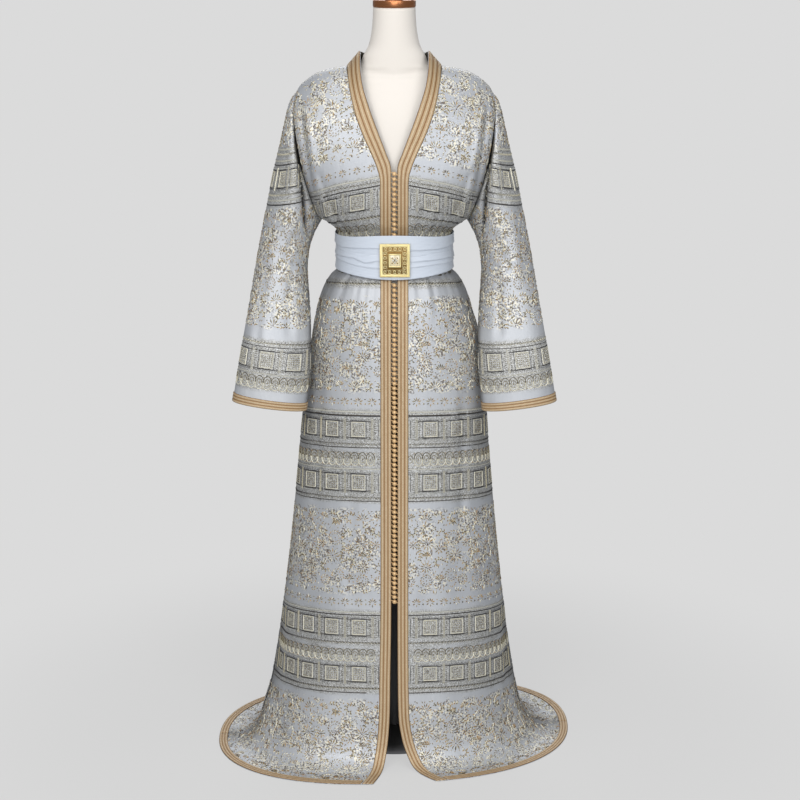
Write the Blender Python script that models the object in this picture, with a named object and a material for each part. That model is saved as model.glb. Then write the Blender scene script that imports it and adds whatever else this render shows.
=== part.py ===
"""A long open-front brocade kaftan with a pleated belt, worn by a limbless dress form on a stand.

Metres. +Z is up, the front faces -Y and the wearer's right is at -X. The origin is on the floor,
under the axis of the form. Each piece of cloth is a closed wall between an outer grid of points
and an inner one. The rows of a grid run up the garment and its columns run across it.
"""

import math

import bmesh
import bpy
import numpy as np

# Cloth and braid
CLOTH = 0.0020
BRAID = 0.0015
GAP = 0.0003
SEAM_PULL = 0.00018
RIGHT, LEFT = -1, 1

# Outline of the body of the garment, from the edge of the hem up to the underarm. The halves are
# from the centre to the side seam, front and back are depths, the edges are the two front edges.
BODY_COLUMNS = ("height", "right_half", "left_half", "front", "back", "right_edge", "left_edge")
BODY_ROWS = (
    (0.0020, 0.382, 0.382, 0.291, 0.291, 0.0440, 0.0870),
    (0.0020, 0.364, 0.364, 0.274, 0.274, 0.0380, 0.0720),
    (0.0020, 0.338, 0.338, 0.252, 0.254, 0.0310, 0.0560),
    (0.0080, 0.314, 0.312, 0.230, 0.234, 0.0235, 0.0400),
    (0.0280, 0.298, 0.291, 0.213, 0.217, 0.0180, 0.0270),
    (0.0660, 0.287, 0.275, 0.203, 0.206, 0.0127, 0.0145),
    (0.1150, 0.272, 0.265, 0.197, 0.200, 0.0098, 0.0080),
    (0.1970, 0.256, 0.251, 0.187, 0.191, 0.0085, 0.0065),
    (0.3260, 0.237, 0.232, 0.172, 0.178, 0.0065, 0.0060),
    (0.4530, 0.221, 0.218, 0.159, 0.168, 0.0060, 0.0060),
    (0.5780, 0.208, 0.206, 0.148, 0.159, 0.0060, 0.0060),
    (0.7010, 0.196, 0.196, 0.139, 0.152, 0.0060, 0.0060),
    (0.7930, 0.185, 0.191, 0.133, 0.147, 0.0060, 0.0060),
    (0.8830, 0.173, 0.179, 0.127, 0.140, 0.0060, 0.0060),
    (0.9430, 0.162, 0.162, 0.121, 0.129, 0.0060, 0.0060),
    (0.9850, 0.148, 0.148, 0.113, 0.116, 0.0060, 0.0060),
    (1.0140, 0.131, 0.131, 0.1045, 0.104, 0.0060, 0.0060),
    (1.0310, 0.1160, 0.1160, 0.0970, 0.0925, 0.0060, 0.0060),
    (1.0690, 0.1150, 0.1150, 0.0955, 0.0910, 0.0060, 0.0060),
    (1.1070, 0.1165, 0.1165, 0.0980, 0.0925, 0.0060, 0.0060),
    (1.1350, 0.1470, 0.1470, 0.1120, 0.1050, 0.0060, 0.0060),
)
UNDERARM_ROW = len(BODY_ROWS) - 1
SQUARENESS = 2.3
TRIM_WIDTH = 0.0225
HEM_SKEW = 0.09
SKEW_TOP = 0.25

# Chest, armhole and shoulder
ARMHOLE_ROWS = 10
CHEST_ROW = UNDERARM_ROW + 4
CHEST_COLUMNS = ("height", "front", "back")
CHEST_TABLE = ((1.135, 0.112, 0.105), (1.175, 0.119, 0.110), (1.225, 0.122, 0.113))
SHOULDER_TIP = (0.1985, 1.392)
UNDERARM = (0.1470, 1.135)
ARMHOLE_BOW = 0.018
ARMHOLE_HALF_DEPTH = 0.062
SHOULDER_ROUND = 2.1
NECK_POINT = (0.0955, 1.444)
STAND_TOP = (0.0690, 1.475)
STAND_BACK_DEPTH = 0.056
STAND_BACK_RISE = -0.013
NECK_BACK_DEPTH = 0.070
NECK_BACK_RISE = -0.004
SHOULDER_LINE = ((0.0, 1.444), (0.0955, 1.444), (0.143, 1.436), (0.188, 1.408), SHOULDER_TIP)
NECK_EDGE = (
    (1.200, 0.0060), (1.250, 0.0060), (1.284, 0.0170), (1.329, 0.0345), (1.374, 0.0510),
    (1.417, 0.0640), (1.448, 0.0683), (1.475, 0.0690),
)
NECK_TRIM_LINE = (
    (1.200, 0.0285), (1.230, 0.0290), (1.253, 0.0350), (1.278, 0.0450), (1.321, 0.0650),
    (1.366, 0.0810), (1.412, 0.0910), (1.444, 0.0955),
)
FRONT_COLUMNS = 8
NECK_COLUMNS = 4
BACK_SIDE_COLUMNS = 5

# Large soft folds of the skirt, as panel, side, across, spread, low, high and out. Side is the half
# that a fold lies on, low and high are its heights, across is its place from the centre
# to the side seam, spread is its width on the same scale, and out is how far it stands proud.
FOLDS = (
    ("front", LEFT, 0.62, 0.10, 0.30, 0.72, -0.0050),
    ("front", RIGHT, 0.90, 0.10, 0.02, 0.26, -0.0090),
    ("front", LEFT, 0.90, 0.10, 0.02, 0.28, -0.0100),
    ("front", RIGHT, 0.55, 0.14, 0.02, 0.40, 0.0040),
    ("back", RIGHT, 0.40, 0.14, 0.02, 0.85, -0.0090),
    ("back", LEFT, 0.46, 0.14, 0.02, 0.80, -0.0090),
    ("back", RIGHT, 0.84, 0.10, 0.02, 0.60, -0.0080),
    ("back", LEFT, 0.88, 0.10, 0.02, 0.55, -0.0080),
    ("back", LEFT, 0.04, 0.12, 0.02, 0.90, 0.0060),
)

# Sleeve, from the armhole to the cuff. Outer is the upper edge of the lying tube, inner its lower.
SLEEVE_COLUMNS = ("outer_x", "outer_z", "inner_x", "inner_z", "forward", "half_depth", "bow")
SLEEVE_ROWS = (
    (*SHOULDER_TIP, *UNDERARM, 0.000, ARMHOLE_HALF_DEPTH, ARMHOLE_BOW),
    (0.2110, 1.3750, 0.1520, 1.1270, 0.001, 0.067, 0.012),
    (0.2325, 1.2940, 0.1690, 1.0940, 0.004, 0.067, 0.005),
    (0.2470, 1.2370, 0.1775, 1.0620, 0.008, 0.063, 0.000),
    (0.2630, 1.1600, 0.1800, 1.0250, 0.014, 0.057, 0.000),
    (0.2800, 1.0750, 0.1765, 0.9750, 0.028, 0.051, 0.000),
    (0.2985, 0.9700, 0.1725, 0.9050, 0.050, 0.046, 0.000),
    (0.3165, 0.8700, 0.1730, 0.8400, 0.078, 0.041, 0.000),
    (0.3340, 0.7680, 0.1820, 0.7480, 0.094, 0.036, 0.000),
)
SLEEVE_STEPS = (0.05, 0.5, 1, 1.5, 2, 2.5, 3, 3.5, 4, 4.5, 5, 6, 7, 7.5, 7.82, 8)
SLEEVE_SQUARENESS = 2.2
SLEEVE_SIDES = 2 * ARMHOLE_ROWS

# Belt: a sash laid in lengthwise pleats, deeper at the front than at the sides
BELT_CLOTH = 0.0018
BELT_BOTTOM, BELT_TOP = 1.0320, 1.1060
BELT_FRONT_DROP, BELT_FRONT_RISE = 0.0085, 0.0085
BELT_HALF_WIDTH, BELT_FRONT, BELT_BACK = 0.1216, 0.1112, 0.0982
BELT_WAISTING = 0.0015
BELT_PLEATS = 4
BELT_PLEAT_OUT = 0.0014
BELT_SIDES = 36
BELT_ROWS = 2 * BELT_PLEATS

# Buckle
BUCKLE_X, BUCKLE_Z = 0.0010, 1.0643
BUCKLE_WIDTH, BUCKLE_HEIGHT = 0.0610, 0.0680
BUCKLE_PLATE = 0.0020
BUCKLE_RIM, BUCKLE_RIM_OUT = 0.0055, 0.0018
BEZEL_WIDTH, BEZEL_HEIGHT = 0.0250, 0.0275
BEZEL_BAND, BEZEL_OUT = 0.0025, 0.0030
STONE_OUT = 0.0018
BUCKLE_BACK = -0.1124

# Buttons: small knotted balls, one against the next, in the gap between the front edges
BUTTON_PITCH = 0.0100
BUTTON_RADIUS = 0.0046
BUTTON_NECK = 0.0024
BUTTON_SIDES = 6
BUTTON_STRETCHES = (
    ("buttons_bodice", 1.1230, 1.2460),
    ("buttons_waist", 1.0205, 1.1195),
    ("buttons_skirt", 0.3500, 1.0170),
)

# Dress form and stand. Each row of the form is a height, half width, front, back and power.
FORM_ROWS = (
    (0.8000, 0.142, 0.092, 0.104, 2.2),
    (0.8040, 0.148, 0.098, 0.110, 2.2),
    (0.8600, 0.158, 0.106, 0.118, 2.2),
    (0.9300, 0.148, 0.102, 0.112, 2.2),
    (1.0000, 0.116, 0.088, 0.088, 2.2),
    (1.0310, 0.104, 0.083, 0.082, 2.2),
    (1.1070, 0.103, 0.084, 0.081, 2.2),
    (1.1350, 0.116, 0.095, 0.090, 2.2),
    (1.2000, 0.152, 0.108, 0.101, 2.2),
    (1.2600, 0.170, 0.104, 0.100, 2.2),
    (1.3200, 0.180, 0.092, 0.093, 2.1),
    (1.3650, 0.182, 0.076, 0.082, 2.0),
    (1.3950, 0.176, 0.060, 0.070, 1.8),
    (1.4120, 0.166, 0.051, 0.062, 1.6),
    (1.4240, 0.148, 0.046, 0.056, 1.4),
    (1.4320, 0.120, 0.044, 0.053, 1.4),
    (1.4380, 0.090, 0.044, 0.051, 1.6),
    (1.4480, 0.0710, 0.044, 0.050, 2.0),
    (1.4650, 0.0635, 0.0440, 0.0480, 2.0),
    (1.4900, 0.0510, 0.0440, 0.0460, 2.0),
    (1.5250, 0.0447, 0.0435, 0.0455, 2.0),
    (1.5620, 0.0425, 0.0425, 0.0435, 2.0),
)
FORM_SIDES = 28
CAP_LOW, CAP_HIGH, CAP_RADIUS = 1.5623, 1.5770, 0.0435
KNOB_PROFILE = (
    (1.5773, 0.0180), (1.5830, 0.0170), (1.5900, 0.0230), (1.6000, 0.0270),
    (1.6100, 0.0240), (1.6170, 0.0150), (1.6200, 0.0060),
)
POLE_RADIUS = 0.0125
POLE_TOP = 0.7997
BASE_RADIUS, BASE_HEIGHT = 0.1400, 0.0140
BASE_PROFILE = (
    (0.0, BASE_RADIUS), (0.0060, BASE_RADIUS), (0.0100, 0.1360), (0.0120, 0.1200),
    (BASE_HEIGHT, 0.0300),
)
TURNED_SIDES = 32

FINISHES = {
    "brocade": ((0.52, 0.56, 0.60), 0.38, 0.15),
    "braid": ((0.60, 0.42, 0.20), 0.50, 0.25),
    "button_gold": ((0.62, 0.45, 0.20), 0.42, 0.45),
    "belt_cloth": ((0.55, 0.64, 0.76), 0.60, 0.0),
    "buckle_gold": ((0.83, 0.64, 0.26), 0.30, 1.0),
    "buckle_stone": ((0.86, 0.80, 0.62), 0.15, 0.1),
    "form_linen": ((0.82, 0.78, 0.72), 0.85, 0.0),
    "copper": ((0.62, 0.36, 0.20), 0.35, 0.9),
    "turned_wood": ((0.42, 0.23, 0.11), 0.45, 0.0),
    "stand_metal": ((0.30, 0.30, 0.31), 0.40, 0.9),
}


def smooth(knots, values, at):
    """A curve through the knots that doesn't overshoot: cubic pieces with limited slopes."""
    knots = np.asarray(knots, float)
    values = np.asarray(values, float)
    steps = np.diff(knots)
    slopes = np.diff(values) / steps
    tangents = np.zeros(len(knots))
    tangents[0], tangents[-1] = slopes[0], slopes[-1]
    before, after = slopes[:-1], slopes[1:]
    same_way = before * after > 0
    tangents[1:-1][same_way] = (2 * before * after)[same_way] / (before + after)[same_way]
    at = np.clip(np.asarray(at, float), knots[0], knots[-1])
    piece = np.clip(np.searchsorted(knots, at, side="right") - 1, 0, len(steps) - 1)
    step = steps[piece]
    part = (at - knots[piece]) / step
    left, right = values[piece], values[piece + 1]
    bend_left, bend_right = tangents[piece] * step, tangents[piece + 1] * step
    return (
        left * (1 + 2 * part) * (1 - part) ** 2
        + bend_left * part * (1 - part) ** 2
        + right * part**2 * (3 - 2 * part)
        + bend_right * part**2 * (part - 1)
    )


def column(rows, names, name):
    """One named column of a table."""
    return [row[names.index(name)] for row in rows]


def read_table(rows, names, name, at):
    """A column of a table whose rows are counted 0, 1, 2 and so on, read between its rows."""
    return smooth(range(len(rows)), column(rows, names, name), at)


def along(pairs, at):
    """A curve given as pairs of place and value."""
    return smooth([pair[0] for pair in pairs], [pair[1] for pair in pairs], at)


def round_off(part, power):
    """The height of a superellipse of that power at a fraction of its half width."""
    return np.clip(1 - np.abs(part) ** power, 0, None) ** (1 / power)


def fold_out(panel, side, across, height):
    """How far the soft folds move the cloth out at a place on a panel."""
    out = np.zeros(np.broadcast(across, height).shape)
    for fold in FOLDS:
        fold_panel, fold_side, centre, spread, low, high, depth = fold
        if fold_panel != panel or fold_side != side:
            continue
        near = np.exp(-(((across - centre) / spread) ** 2))
        rise = np.clip((height - low) / (0.25 * (high - low)), 0, 1)
        fade = np.clip((high - height) / (0.50 * (high - low)), 0, 1)
        out = out + depth * near * np.sin(rise * math.pi / 2) * np.sin(fade * math.pi / 2)
    return out


def body_row(side, row):
    """Heights, half width, depths and gape of the armhole at each row of the body."""
    row = np.asarray(row, float)
    low = np.minimum(row, UNDERARM_ROW)
    half_name, edge_name = ("right_half", "right_edge") if side == RIGHT else ("left_half", "left_edge")
    height = read_table(BODY_ROWS, BODY_COLUMNS, "height", low)
    half = read_table(BODY_ROWS, BODY_COLUMNS, half_name, low)
    front = read_table(BODY_ROWS, BODY_COLUMNS, "front", low)
    back = read_table(BODY_ROWS, BODY_COLUMNS, "back", low)
    edge = read_table(BODY_ROWS, BODY_COLUMNS, edge_name, low)
    turn = math.pi * (1 - np.clip((row - UNDERARM_ROW) / ARMHOLE_ROWS, 0, 1))
    above = row > UNDERARM_ROW
    middle_x, reach_x = (SHOULDER_TIP[0] + UNDERARM[0]) / 2, (SHOULDER_TIP[0] - UNDERARM[0]) / 2
    middle_z, reach_z = (SHOULDER_TIP[1] + UNDERARM[1]) / 2, (SHOULDER_TIP[1] - UNDERARM[1]) / 2
    height = np.where(above, middle_z + reach_z * np.cos(turn), height)
    half = np.where(above, middle_x + reach_x * np.cos(turn) + ARMHOLE_BOW * np.sin(turn), half)
    gape = np.where(above, ARMHOLE_HALF_DEPTH * np.sin(turn), 0.0)
    heights = column(CHEST_TABLE, CHEST_COLUMNS, "height")
    front = np.where(above, smooth(heights, column(CHEST_TABLE, CHEST_COLUMNS, "front"), height), front)
    back = np.where(above, smooth(heights, column(CHEST_TABLE, CHEST_COLUMNS, "back"), height), back)
    chest = chest_height()
    climb = np.clip((height - chest) / (SHOULDER_TIP[1] - chest), 0, 1)
    lean = round_off(climb, SHOULDER_ROUND)
    return height, half, front * lean, back * lean, gape, climb, edge


def chest_height():
    """The height at which the rows begin to climb to the slope of the shoulder."""
    turn = math.pi * (1 - (CHEST_ROW - UNDERARM_ROW) / ARMHOLE_ROWS)
    middle = (SHOULDER_TIP[1] + UNDERARM[1]) / 2
    return middle + (SHOULDER_TIP[1] - UNDERARM[1]) / 2 * math.cos(turn)


def skewed(x, y, height):
    """The hem lies a little turned on the floor, forward on the right and back on the left."""
    weight = np.clip(1 - height / SKEW_TOP, 0, 1) ** 2
    return y + HEM_SKEW * weight * x


def front_surface(side):
    """The front panel. Column 0 is its front edge, 1 the line of the braid, the last the side."""

    def surface(row, col):
        height, half, front, _, gape, climb, edge = body_row(side, row)
        chest = chest_height()
        edge_z = chest + (STAND_TOP[1] - chest) * climb
        line_z = chest + (NECK_POINT[1] - chest) * climb
        edge_x = np.where(climb > 0, along(NECK_EDGE, edge_z), edge)
        line_x = np.where(climb > 0, along(NECK_TRIM_LINE, line_z), edge + TRIM_WIDTH)
        strip = np.clip(col, 0, 1)
        sweep = np.sin(np.clip(col - 1, 0, FRONT_COLUMNS) / FRONT_COLUMNS * math.pi / 2)
        x = np.where(col < 1, edge_x + (line_x - edge_x) * strip, line_x + (half - line_x) * sweep)
        shoulder = along(SHOULDER_LINE, x / half * SHOULDER_TIP[0])
        climbed = chest + (shoulder - chest) * climb
        climbed = np.where(col < 1, edge_z + (line_z - edge_z) * strip, climbed)
        z = np.where(climb > 0, climbed, height)
        depth = gape + (front - gape) * round_off(x / half, SQUARENESS)
        fold = fold_out("front", side, x / half, height)
        grow = 1 + fold / np.maximum(half, 0.1)
        y = skewed(side * x * grow, -depth * grow, height)
        return np.stack([side * x * grow, y, z], axis=-1)

    return surface


def back_surface(row, col):
    """The back panel. Column 0 is the centre back; the rest run to the right (-) and left (+)."""
    row, col = np.broadcast_arrays(np.asarray(row, float), np.asarray(col, float))
    out = np.zeros(row.shape + (3,))
    neck_part = NECK_POINT[0] / SHOULDER_TIP[0]
    neck_turn = math.asin(neck_part)
    for side in (RIGHT, LEFT):
        height, half, _, back, gape, climb, _ = body_row(side, row)
        place = np.abs(col)
        neck = neck_part * np.sin(np.clip(place / NECK_COLUMNS, 0, 1) * math.pi / 2)
        sweep = np.clip((place - NECK_COLUMNS) / BACK_SIDE_COLUMNS, 0, 1)
        beyond = np.sin(neck_turn + (math.pi / 2 - neck_turn) * sweep)
        part = np.where(place <= NECK_COLUMNS, neck, beyond)
        x = half * part
        chest = chest_height()
        reach = neck_part + (1 - neck_part) * round_off(climb, 2)
        dip = round_off(np.clip(part / reach, 0, 1), 2)
        top = along(SHOULDER_LINE, part * SHOULDER_TIP[0]) + NECK_BACK_RISE * dip**2
        z = np.where(climb > 0, chest + (top - chest) * climb, height)
        shoulder = gape + (back - gape) * round_off(part, SQUARENESS)
        y = np.hypot(shoulder, NECK_BACK_DEPTH * dip * climb**2)
        grow = 1 + fold_out("back", side, part, height) / np.maximum(half, 0.1)
        y = skewed(side * x * grow, y * grow, height)
        point = np.stack([side * x * grow, y, z], axis=-1)
        out = np.where((col * side >= 0)[..., None], point, out)
    return out


def sleeve_surface(side):
    """The sleeve. A column is the turn from the upper edge, round the front, in degrees."""

    def surface(row, degrees):
        turn = np.radians(degrees)
        outer_x = read_table(SLEEVE_ROWS, SLEEVE_COLUMNS, "outer_x", row)
        outer_z = read_table(SLEEVE_ROWS, SLEEVE_COLUMNS, "outer_z", row)
        inner_x = read_table(SLEEVE_ROWS, SLEEVE_COLUMNS, "inner_x", row)
        inner_z = read_table(SLEEVE_ROWS, SLEEVE_COLUMNS, "inner_z", row)
        forward = read_table(SLEEVE_ROWS, SLEEVE_COLUMNS, "forward", row)
        half_depth = read_table(SLEEVE_ROWS, SLEEVE_COLUMNS, "half_depth", row)
        bow = read_table(SLEEVE_ROWS, SLEEVE_COLUMNS, "bow", row)
        across, round_part = np.cos(turn), np.sin(turn)
        square = np.clip(np.asarray(row, float) / 3, 0, 1)
        power = 2 / (2 + (SLEEVE_SQUARENESS - 2) * square)
        bulge = np.sign(round_part) * np.abs(round_part) ** power
        x = (outer_x + inner_x) / 2 + (outer_x - inner_x) / 2 * across + bow * np.abs(round_part)
        z = (outer_z + inner_z) / 2 + (outer_z - inner_z) / 2 * across
        y = -forward - half_depth * bulge
        return np.stack(np.broadcast_arrays(side * x, y, z), axis=-1)

    return surface


def belt_surface(row, degrees):
    """The belt's face. A row is the place in its width, a column the turn from the centre front."""
    turn = np.radians(degrees)
    ahead = np.clip(np.cos(turn), 0, 1) ** 4
    low = BELT_BOTTOM - BELT_FRONT_DROP * ahead
    high = BELT_TOP + BELT_FRONT_RISE * ahead
    part = np.asarray(row, float) / BELT_ROWS
    pleat = BELT_PLEAT_OUT * np.abs(np.sin(part * BELT_PLEATS * math.pi))
    waisted = pleat - BELT_WAISTING * np.sin(part * math.pi)
    power = 2 / SQUARENESS
    side_part = np.sign(np.sin(turn)) * np.abs(np.sin(turn)) ** power
    depth_part = np.sign(np.cos(turn)) * np.abs(np.cos(turn)) ** power
    depth = np.where(np.cos(turn) > 0, BELT_FRONT, BELT_BACK)
    x = (BELT_HALF_WIDTH + waisted) * side_part
    y = -(depth + waisted) * depth_part
    z = low + (high - low) * part
    return np.stack(np.broadcast_arrays(x, y, z), axis=-1)


def grid_and_normals(surface, rows, cols, col_limits=None):
    """Points of a surface on a grid of rows and columns, and the unit normals there."""
    row, col = np.meshgrid(np.asarray(rows, float), np.asarray(cols, float), indexing="ij")
    nudge = 1e-3
    low, high = col_limits or (-np.inf, np.inf)
    up = surface(np.clip(row + nudge, min(rows), max(rows)), col)
    down = surface(np.clip(row - nudge, min(rows), max(rows)), col)
    ahead = surface(row, np.clip(col + nudge, low, high))
    behind = surface(row, np.clip(col - nudge, low, high))
    normal = np.cross(ahead - behind, up - down)
    normal /= np.maximum(np.linalg.norm(normal, axis=-1, keepdims=True), 1e-12)
    return surface(row, col), normal


def pulled(grid, edges, amount=SEAM_PULL):
    """The grid with its named edges drawn back along the cloth, to leave the gap of a seam."""
    grid = grid.copy()
    for edge in edges:
        if edge in ("first_col", "last_col"):
            line, inside = (0, 1) if edge == "first_col" else (-1, -2)
            way = grid[:, inside] - grid[:, line]
            grid[:, line] += amount * way / np.linalg.norm(way, axis=-1, keepdims=True)
        else:
            line, inside = (0, 1) if edge == "first_row" else (-1, -2)
            way = grid[inside] - grid[line]
            grid[line] += amount * way / np.linalg.norm(way, axis=-1, keepdims=True)
    return grid


def finish(name):
    """The named material, made once."""
    if name in bpy.data.materials:
        return bpy.data.materials[name]
    colour, roughness, metallic = FINISHES[name]
    material = bpy.data.materials.new(name)
    material.use_nodes = True
    shader = material.node_tree.nodes["Principled BSDF"]
    shader.inputs["Base Color"].default_value = (*colour, 1)
    shader.inputs["Roughness"].default_value = roughness
    shader.inputs["Metallic"].default_value = metallic
    return material


def add_mesh(name, points, faces, material, sharp_degrees=40):
    """An object from points and faces, facing out, in its finish."""
    mesh = bpy.data.meshes.new(name)
    mesh.from_pydata([tuple(map(float, point)) for point in points], [], faces)
    shape = bmesh.new()
    shape.from_mesh(mesh)
    bmesh.ops.recalc_face_normals(shape, faces=shape.faces)
    shape.to_mesh(mesh)
    shape.free()
    mesh.shade_smooth()
    mesh.set_sharp_from_angle(angle=math.radians(sharp_degrees))
    mesh.materials.append(finish(material))
    obj = bpy.data.objects.new(name, mesh)
    bpy.context.scene.collection.objects.link(obj)
    return obj


def add_wall(name, outer, inner, material, ring=False):
    """A closed wall between two grids. In a ring the last column joins the first."""
    rows, cols = outer.shape[:2]
    inner = inner.copy()
    inner[..., 2] = np.maximum(inner[..., 2], 0)
    points = np.concatenate([outer.reshape(-1, 3), inner.reshape(-1, 3)])
    offset = rows * cols
    faces = []
    spans = cols if ring else cols - 1
    for i in range(rows - 1):
        for j in range(spans):
            k = (j + 1) % cols
            a, b, c, d = i * cols + j, i * cols + k, (i + 1) * cols + k, (i + 1) * cols + j
            faces += [(a, b, c), (a, c, d)]
            faces += [(offset + c, offset + b, offset + a), (offset + d, offset + c, offset + a)]
    for j in range(spans):
        k = (j + 1) % cols
        top = (rows - 1) * cols
        faces.append((j, offset + j, offset + k, k))
        faces.append((top + j, top + k, offset + top + k, offset + top + j))
    if not ring:
        for i in range(rows - 1):
            low, high = i * cols, (i + 1) * cols
            last = cols - 1
            faces.append((low, high, offset + high, offset + low))
            faces.append((low + last, offset + low + last, offset + high + last, high + last))
    return add_mesh(name, points, faces, material)


def add_panel(name, outer, normal, edges, ring=False, thickness=CLOTH, material="brocade"):
    """A wall that goes inwards from its outer points."""
    inner = outer - normal * thickness
    return add_wall(name, pulled(outer, edges), pulled(inner, edges), material, ring)


def add_braid(name, outer, normal, edges, ring=False):
    """A flat braid on a panel: the panel's own points, moved out."""
    under = pulled(outer + normal * GAP, edges)
    over = pulled(outer + normal * (GAP + BRAID), edges)
    return add_wall(name, over, under, "braid", ring)


def build_body():
    """The two fronts and the back, with the braid on their edges and round the hem."""
    rows = range(UNDERARM_ROW + ARMHOLE_ROWS + 1)
    front_cols = range(FRONT_COLUMNS + 2)
    for side, name in ((RIGHT, "right"), (LEFT, "left")):
        limits = (0, FRONT_COLUMNS + 1)
        points, normal = grid_and_normals(front_surface(side), rows, front_cols, limits)
        normal *= side
        add_panel(f"front_{name}", points, normal, ("last_col", "last_row"))
        add_braid(f"trim_front_{name}", points[:, :2], normal[:, :2], ("last_col", "last_row"))
        hem, hem_normal = points[:2, 1:], normal[:2, 1:]
        add_braid(f"trim_hem_{name}", hem, hem_normal, ("first_col", "last_col"))
    reach = NECK_COLUMNS + BACK_SIDE_COLUMNS
    back_cols = range(-reach, reach + 1)
    points, normal = grid_and_normals(back_surface, rows, back_cols, (-reach, reach))
    normal *= -1
    add_panel("back", points, normal, ("first_col", "last_col", "last_row"))
    add_braid("trim_hem_back", points[:2], normal[:2], ("first_col", "last_col"))
    neck = slice(reach - NECK_COLUMNS, reach + NECK_COLUMNS + 1)
    return points[-1, neck]


def build_collar(base):
    """The stand round the back of the neck, on the top edge of the back, and its braid."""
    turn = np.radians(np.linspace(-90, 90, len(base)))
    top = np.stack(
        [
            STAND_TOP[0] * np.sin(turn),
            STAND_BACK_DEPTH * np.cos(turn),
            STAND_TOP[1] + STAND_BACK_RISE * np.cos(turn),
        ],
        axis=-1,
    )
    lift = np.array([0, 0, 2 * GAP])
    share = np.linspace(0, 1, 4)[:, None, None]
    points = (base + lift)[None] * (1 - share) + (top + lift)[None] * share
    out = np.gradient(points, axis=1)
    normal = np.cross(np.gradient(points, axis=0), out)
    normal[:, (0, -1), 1] = 0
    normal /= np.linalg.norm(normal, axis=-1, keepdims=True)
    if normal[1, len(base) // 2, 1] < 0:
        normal *= -1
    add_panel("collar_back", points, normal, ("first_col", "last_col"))
    add_braid("trim_neck", points, normal, ("first_col", "last_col"))


def build_sleeves():
    """The two sleeves and the braid round their cuffs."""
    degrees = np.arange(SLEEVE_SIDES) * 360 / SLEEVE_SIDES
    for side, name in ((RIGHT, "right"), (LEFT, "left")):
        points, normal = grid_and_normals(sleeve_surface(side), SLEEVE_STEPS, degrees)
        normal *= side
        add_panel(f"sleeve_{name}", points, normal, (), ring=True)
        add_braid(f"trim_cuff_{name}", points[-2:], normal[-2:], (), ring=True)


def build_belt():
    """The pleated belt, closed all round."""
    degrees = np.arange(BELT_SIDES) * 360 / BELT_SIDES
    points, normal = grid_and_normals(belt_surface, range(BELT_ROWS + 1), degrees)
    plain = normal.copy()
    plain[..., 2] = 0
    plain /= np.linalg.norm(plain, axis=-1, keepdims=True)
    pleat = np.zeros(points.shape[:2] + (1,))
    pleat[1::2] = BELT_PLEAT_OUT
    inner = points - plain * (BELT_CLOTH + pleat)
    add_wall("belt_sash", points, inner, "belt_cloth", ring=True)


def add_frame(name, width, height, band, back, thick, material):
    """A flat rectangular frame that faces -Y, or a plate where band is None."""
    half_w, half_h = width / 2, height / 2
    ease = min(thick, band or thick) * 0.3

    def loop(shrink, y):
        w, h = half_w - shrink, half_h - shrink
        corners = ((-w, -h), (w, -h), (w, h), (-w, h))
        return [(BUCKLE_X + x, y, BUCKLE_Z + z) for x, z in corners]

    front = back - thick
    loops = [loop(0, back), loop(0, front + ease), loop(ease, front)]
    if band:
        loops += [loop(band - ease, front), loop(band, front + ease), loop(band, back)]
    points = [point for ring in loops for point in ring]
    faces = []
    count = len(loops)
    pairs = [(i, (i + 1) % count) for i in range(count)] if band else [(0, 1), (1, 2)]
    for a, b in pairs:
        for j in range(4):
            k = (j + 1) % 4
            faces.append((4 * a + j, 4 * a + k, 4 * b + k, 4 * b + j))
    if not band:
        faces += [(3, 2, 1, 0), (8, 9, 10, 11)]
    return add_mesh(name, points, faces, material, sharp_degrees=20)


def build_buckle():
    """The square buckle: a plate, its raised rim, the bezel and the panel that it holds."""
    plate_front = BUCKLE_BACK - BUCKLE_PLATE
    add_frame("buckle_plate", BUCKLE_WIDTH, BUCKLE_HEIGHT, None, BUCKLE_BACK, BUCKLE_PLATE, "buckle_gold")
    on_plate = plate_front - GAP
    add_frame(
        "buckle_frame", BUCKLE_WIDTH, BUCKLE_HEIGHT, BUCKLE_RIM, on_plate, BUCKLE_RIM_OUT, "buckle_gold"
    )
    add_frame("buckle_bezel", BEZEL_WIDTH, BEZEL_HEIGHT, BEZEL_BAND, on_plate, BEZEL_OUT, "buckle_gold")
    inset = 2 * (BEZEL_BAND + GAP)
    add_frame(
        "buckle_stone", BEZEL_WIDTH - inset, BEZEL_HEIGHT - inset, None, on_plate, STONE_OUT, "buckle_stone"
    )


def add_turned(name, profile, sides, material, centre=(0.0, 0.0)):
    """A solid of rings, given as pairs of height and radius, closed flat at both ends."""
    turn = np.arange(sides) * 2 * math.pi / sides
    points = [
        (centre[0] + radius * math.cos(a), centre[1] + radius * math.sin(a), height)
        for height, radius in profile
        for a in turn
    ]
    return add_rings(name, points, len(profile), sides, material)


def add_rings(name, points, count, sides, material):
    """A solid of equal rings of points, closed flat at both ends."""
    faces = [tuple(range(sides)), tuple(range((count - 1) * sides, count * sides))]
    for i in range(count - 1):
        for j in range(sides):
            k = (j + 1) % sides
            faces.append((i * sides + j, i * sides + k, (i + 1) * sides + k, (i + 1) * sides + j))
    return add_mesh(name, points, faces, material)


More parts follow.
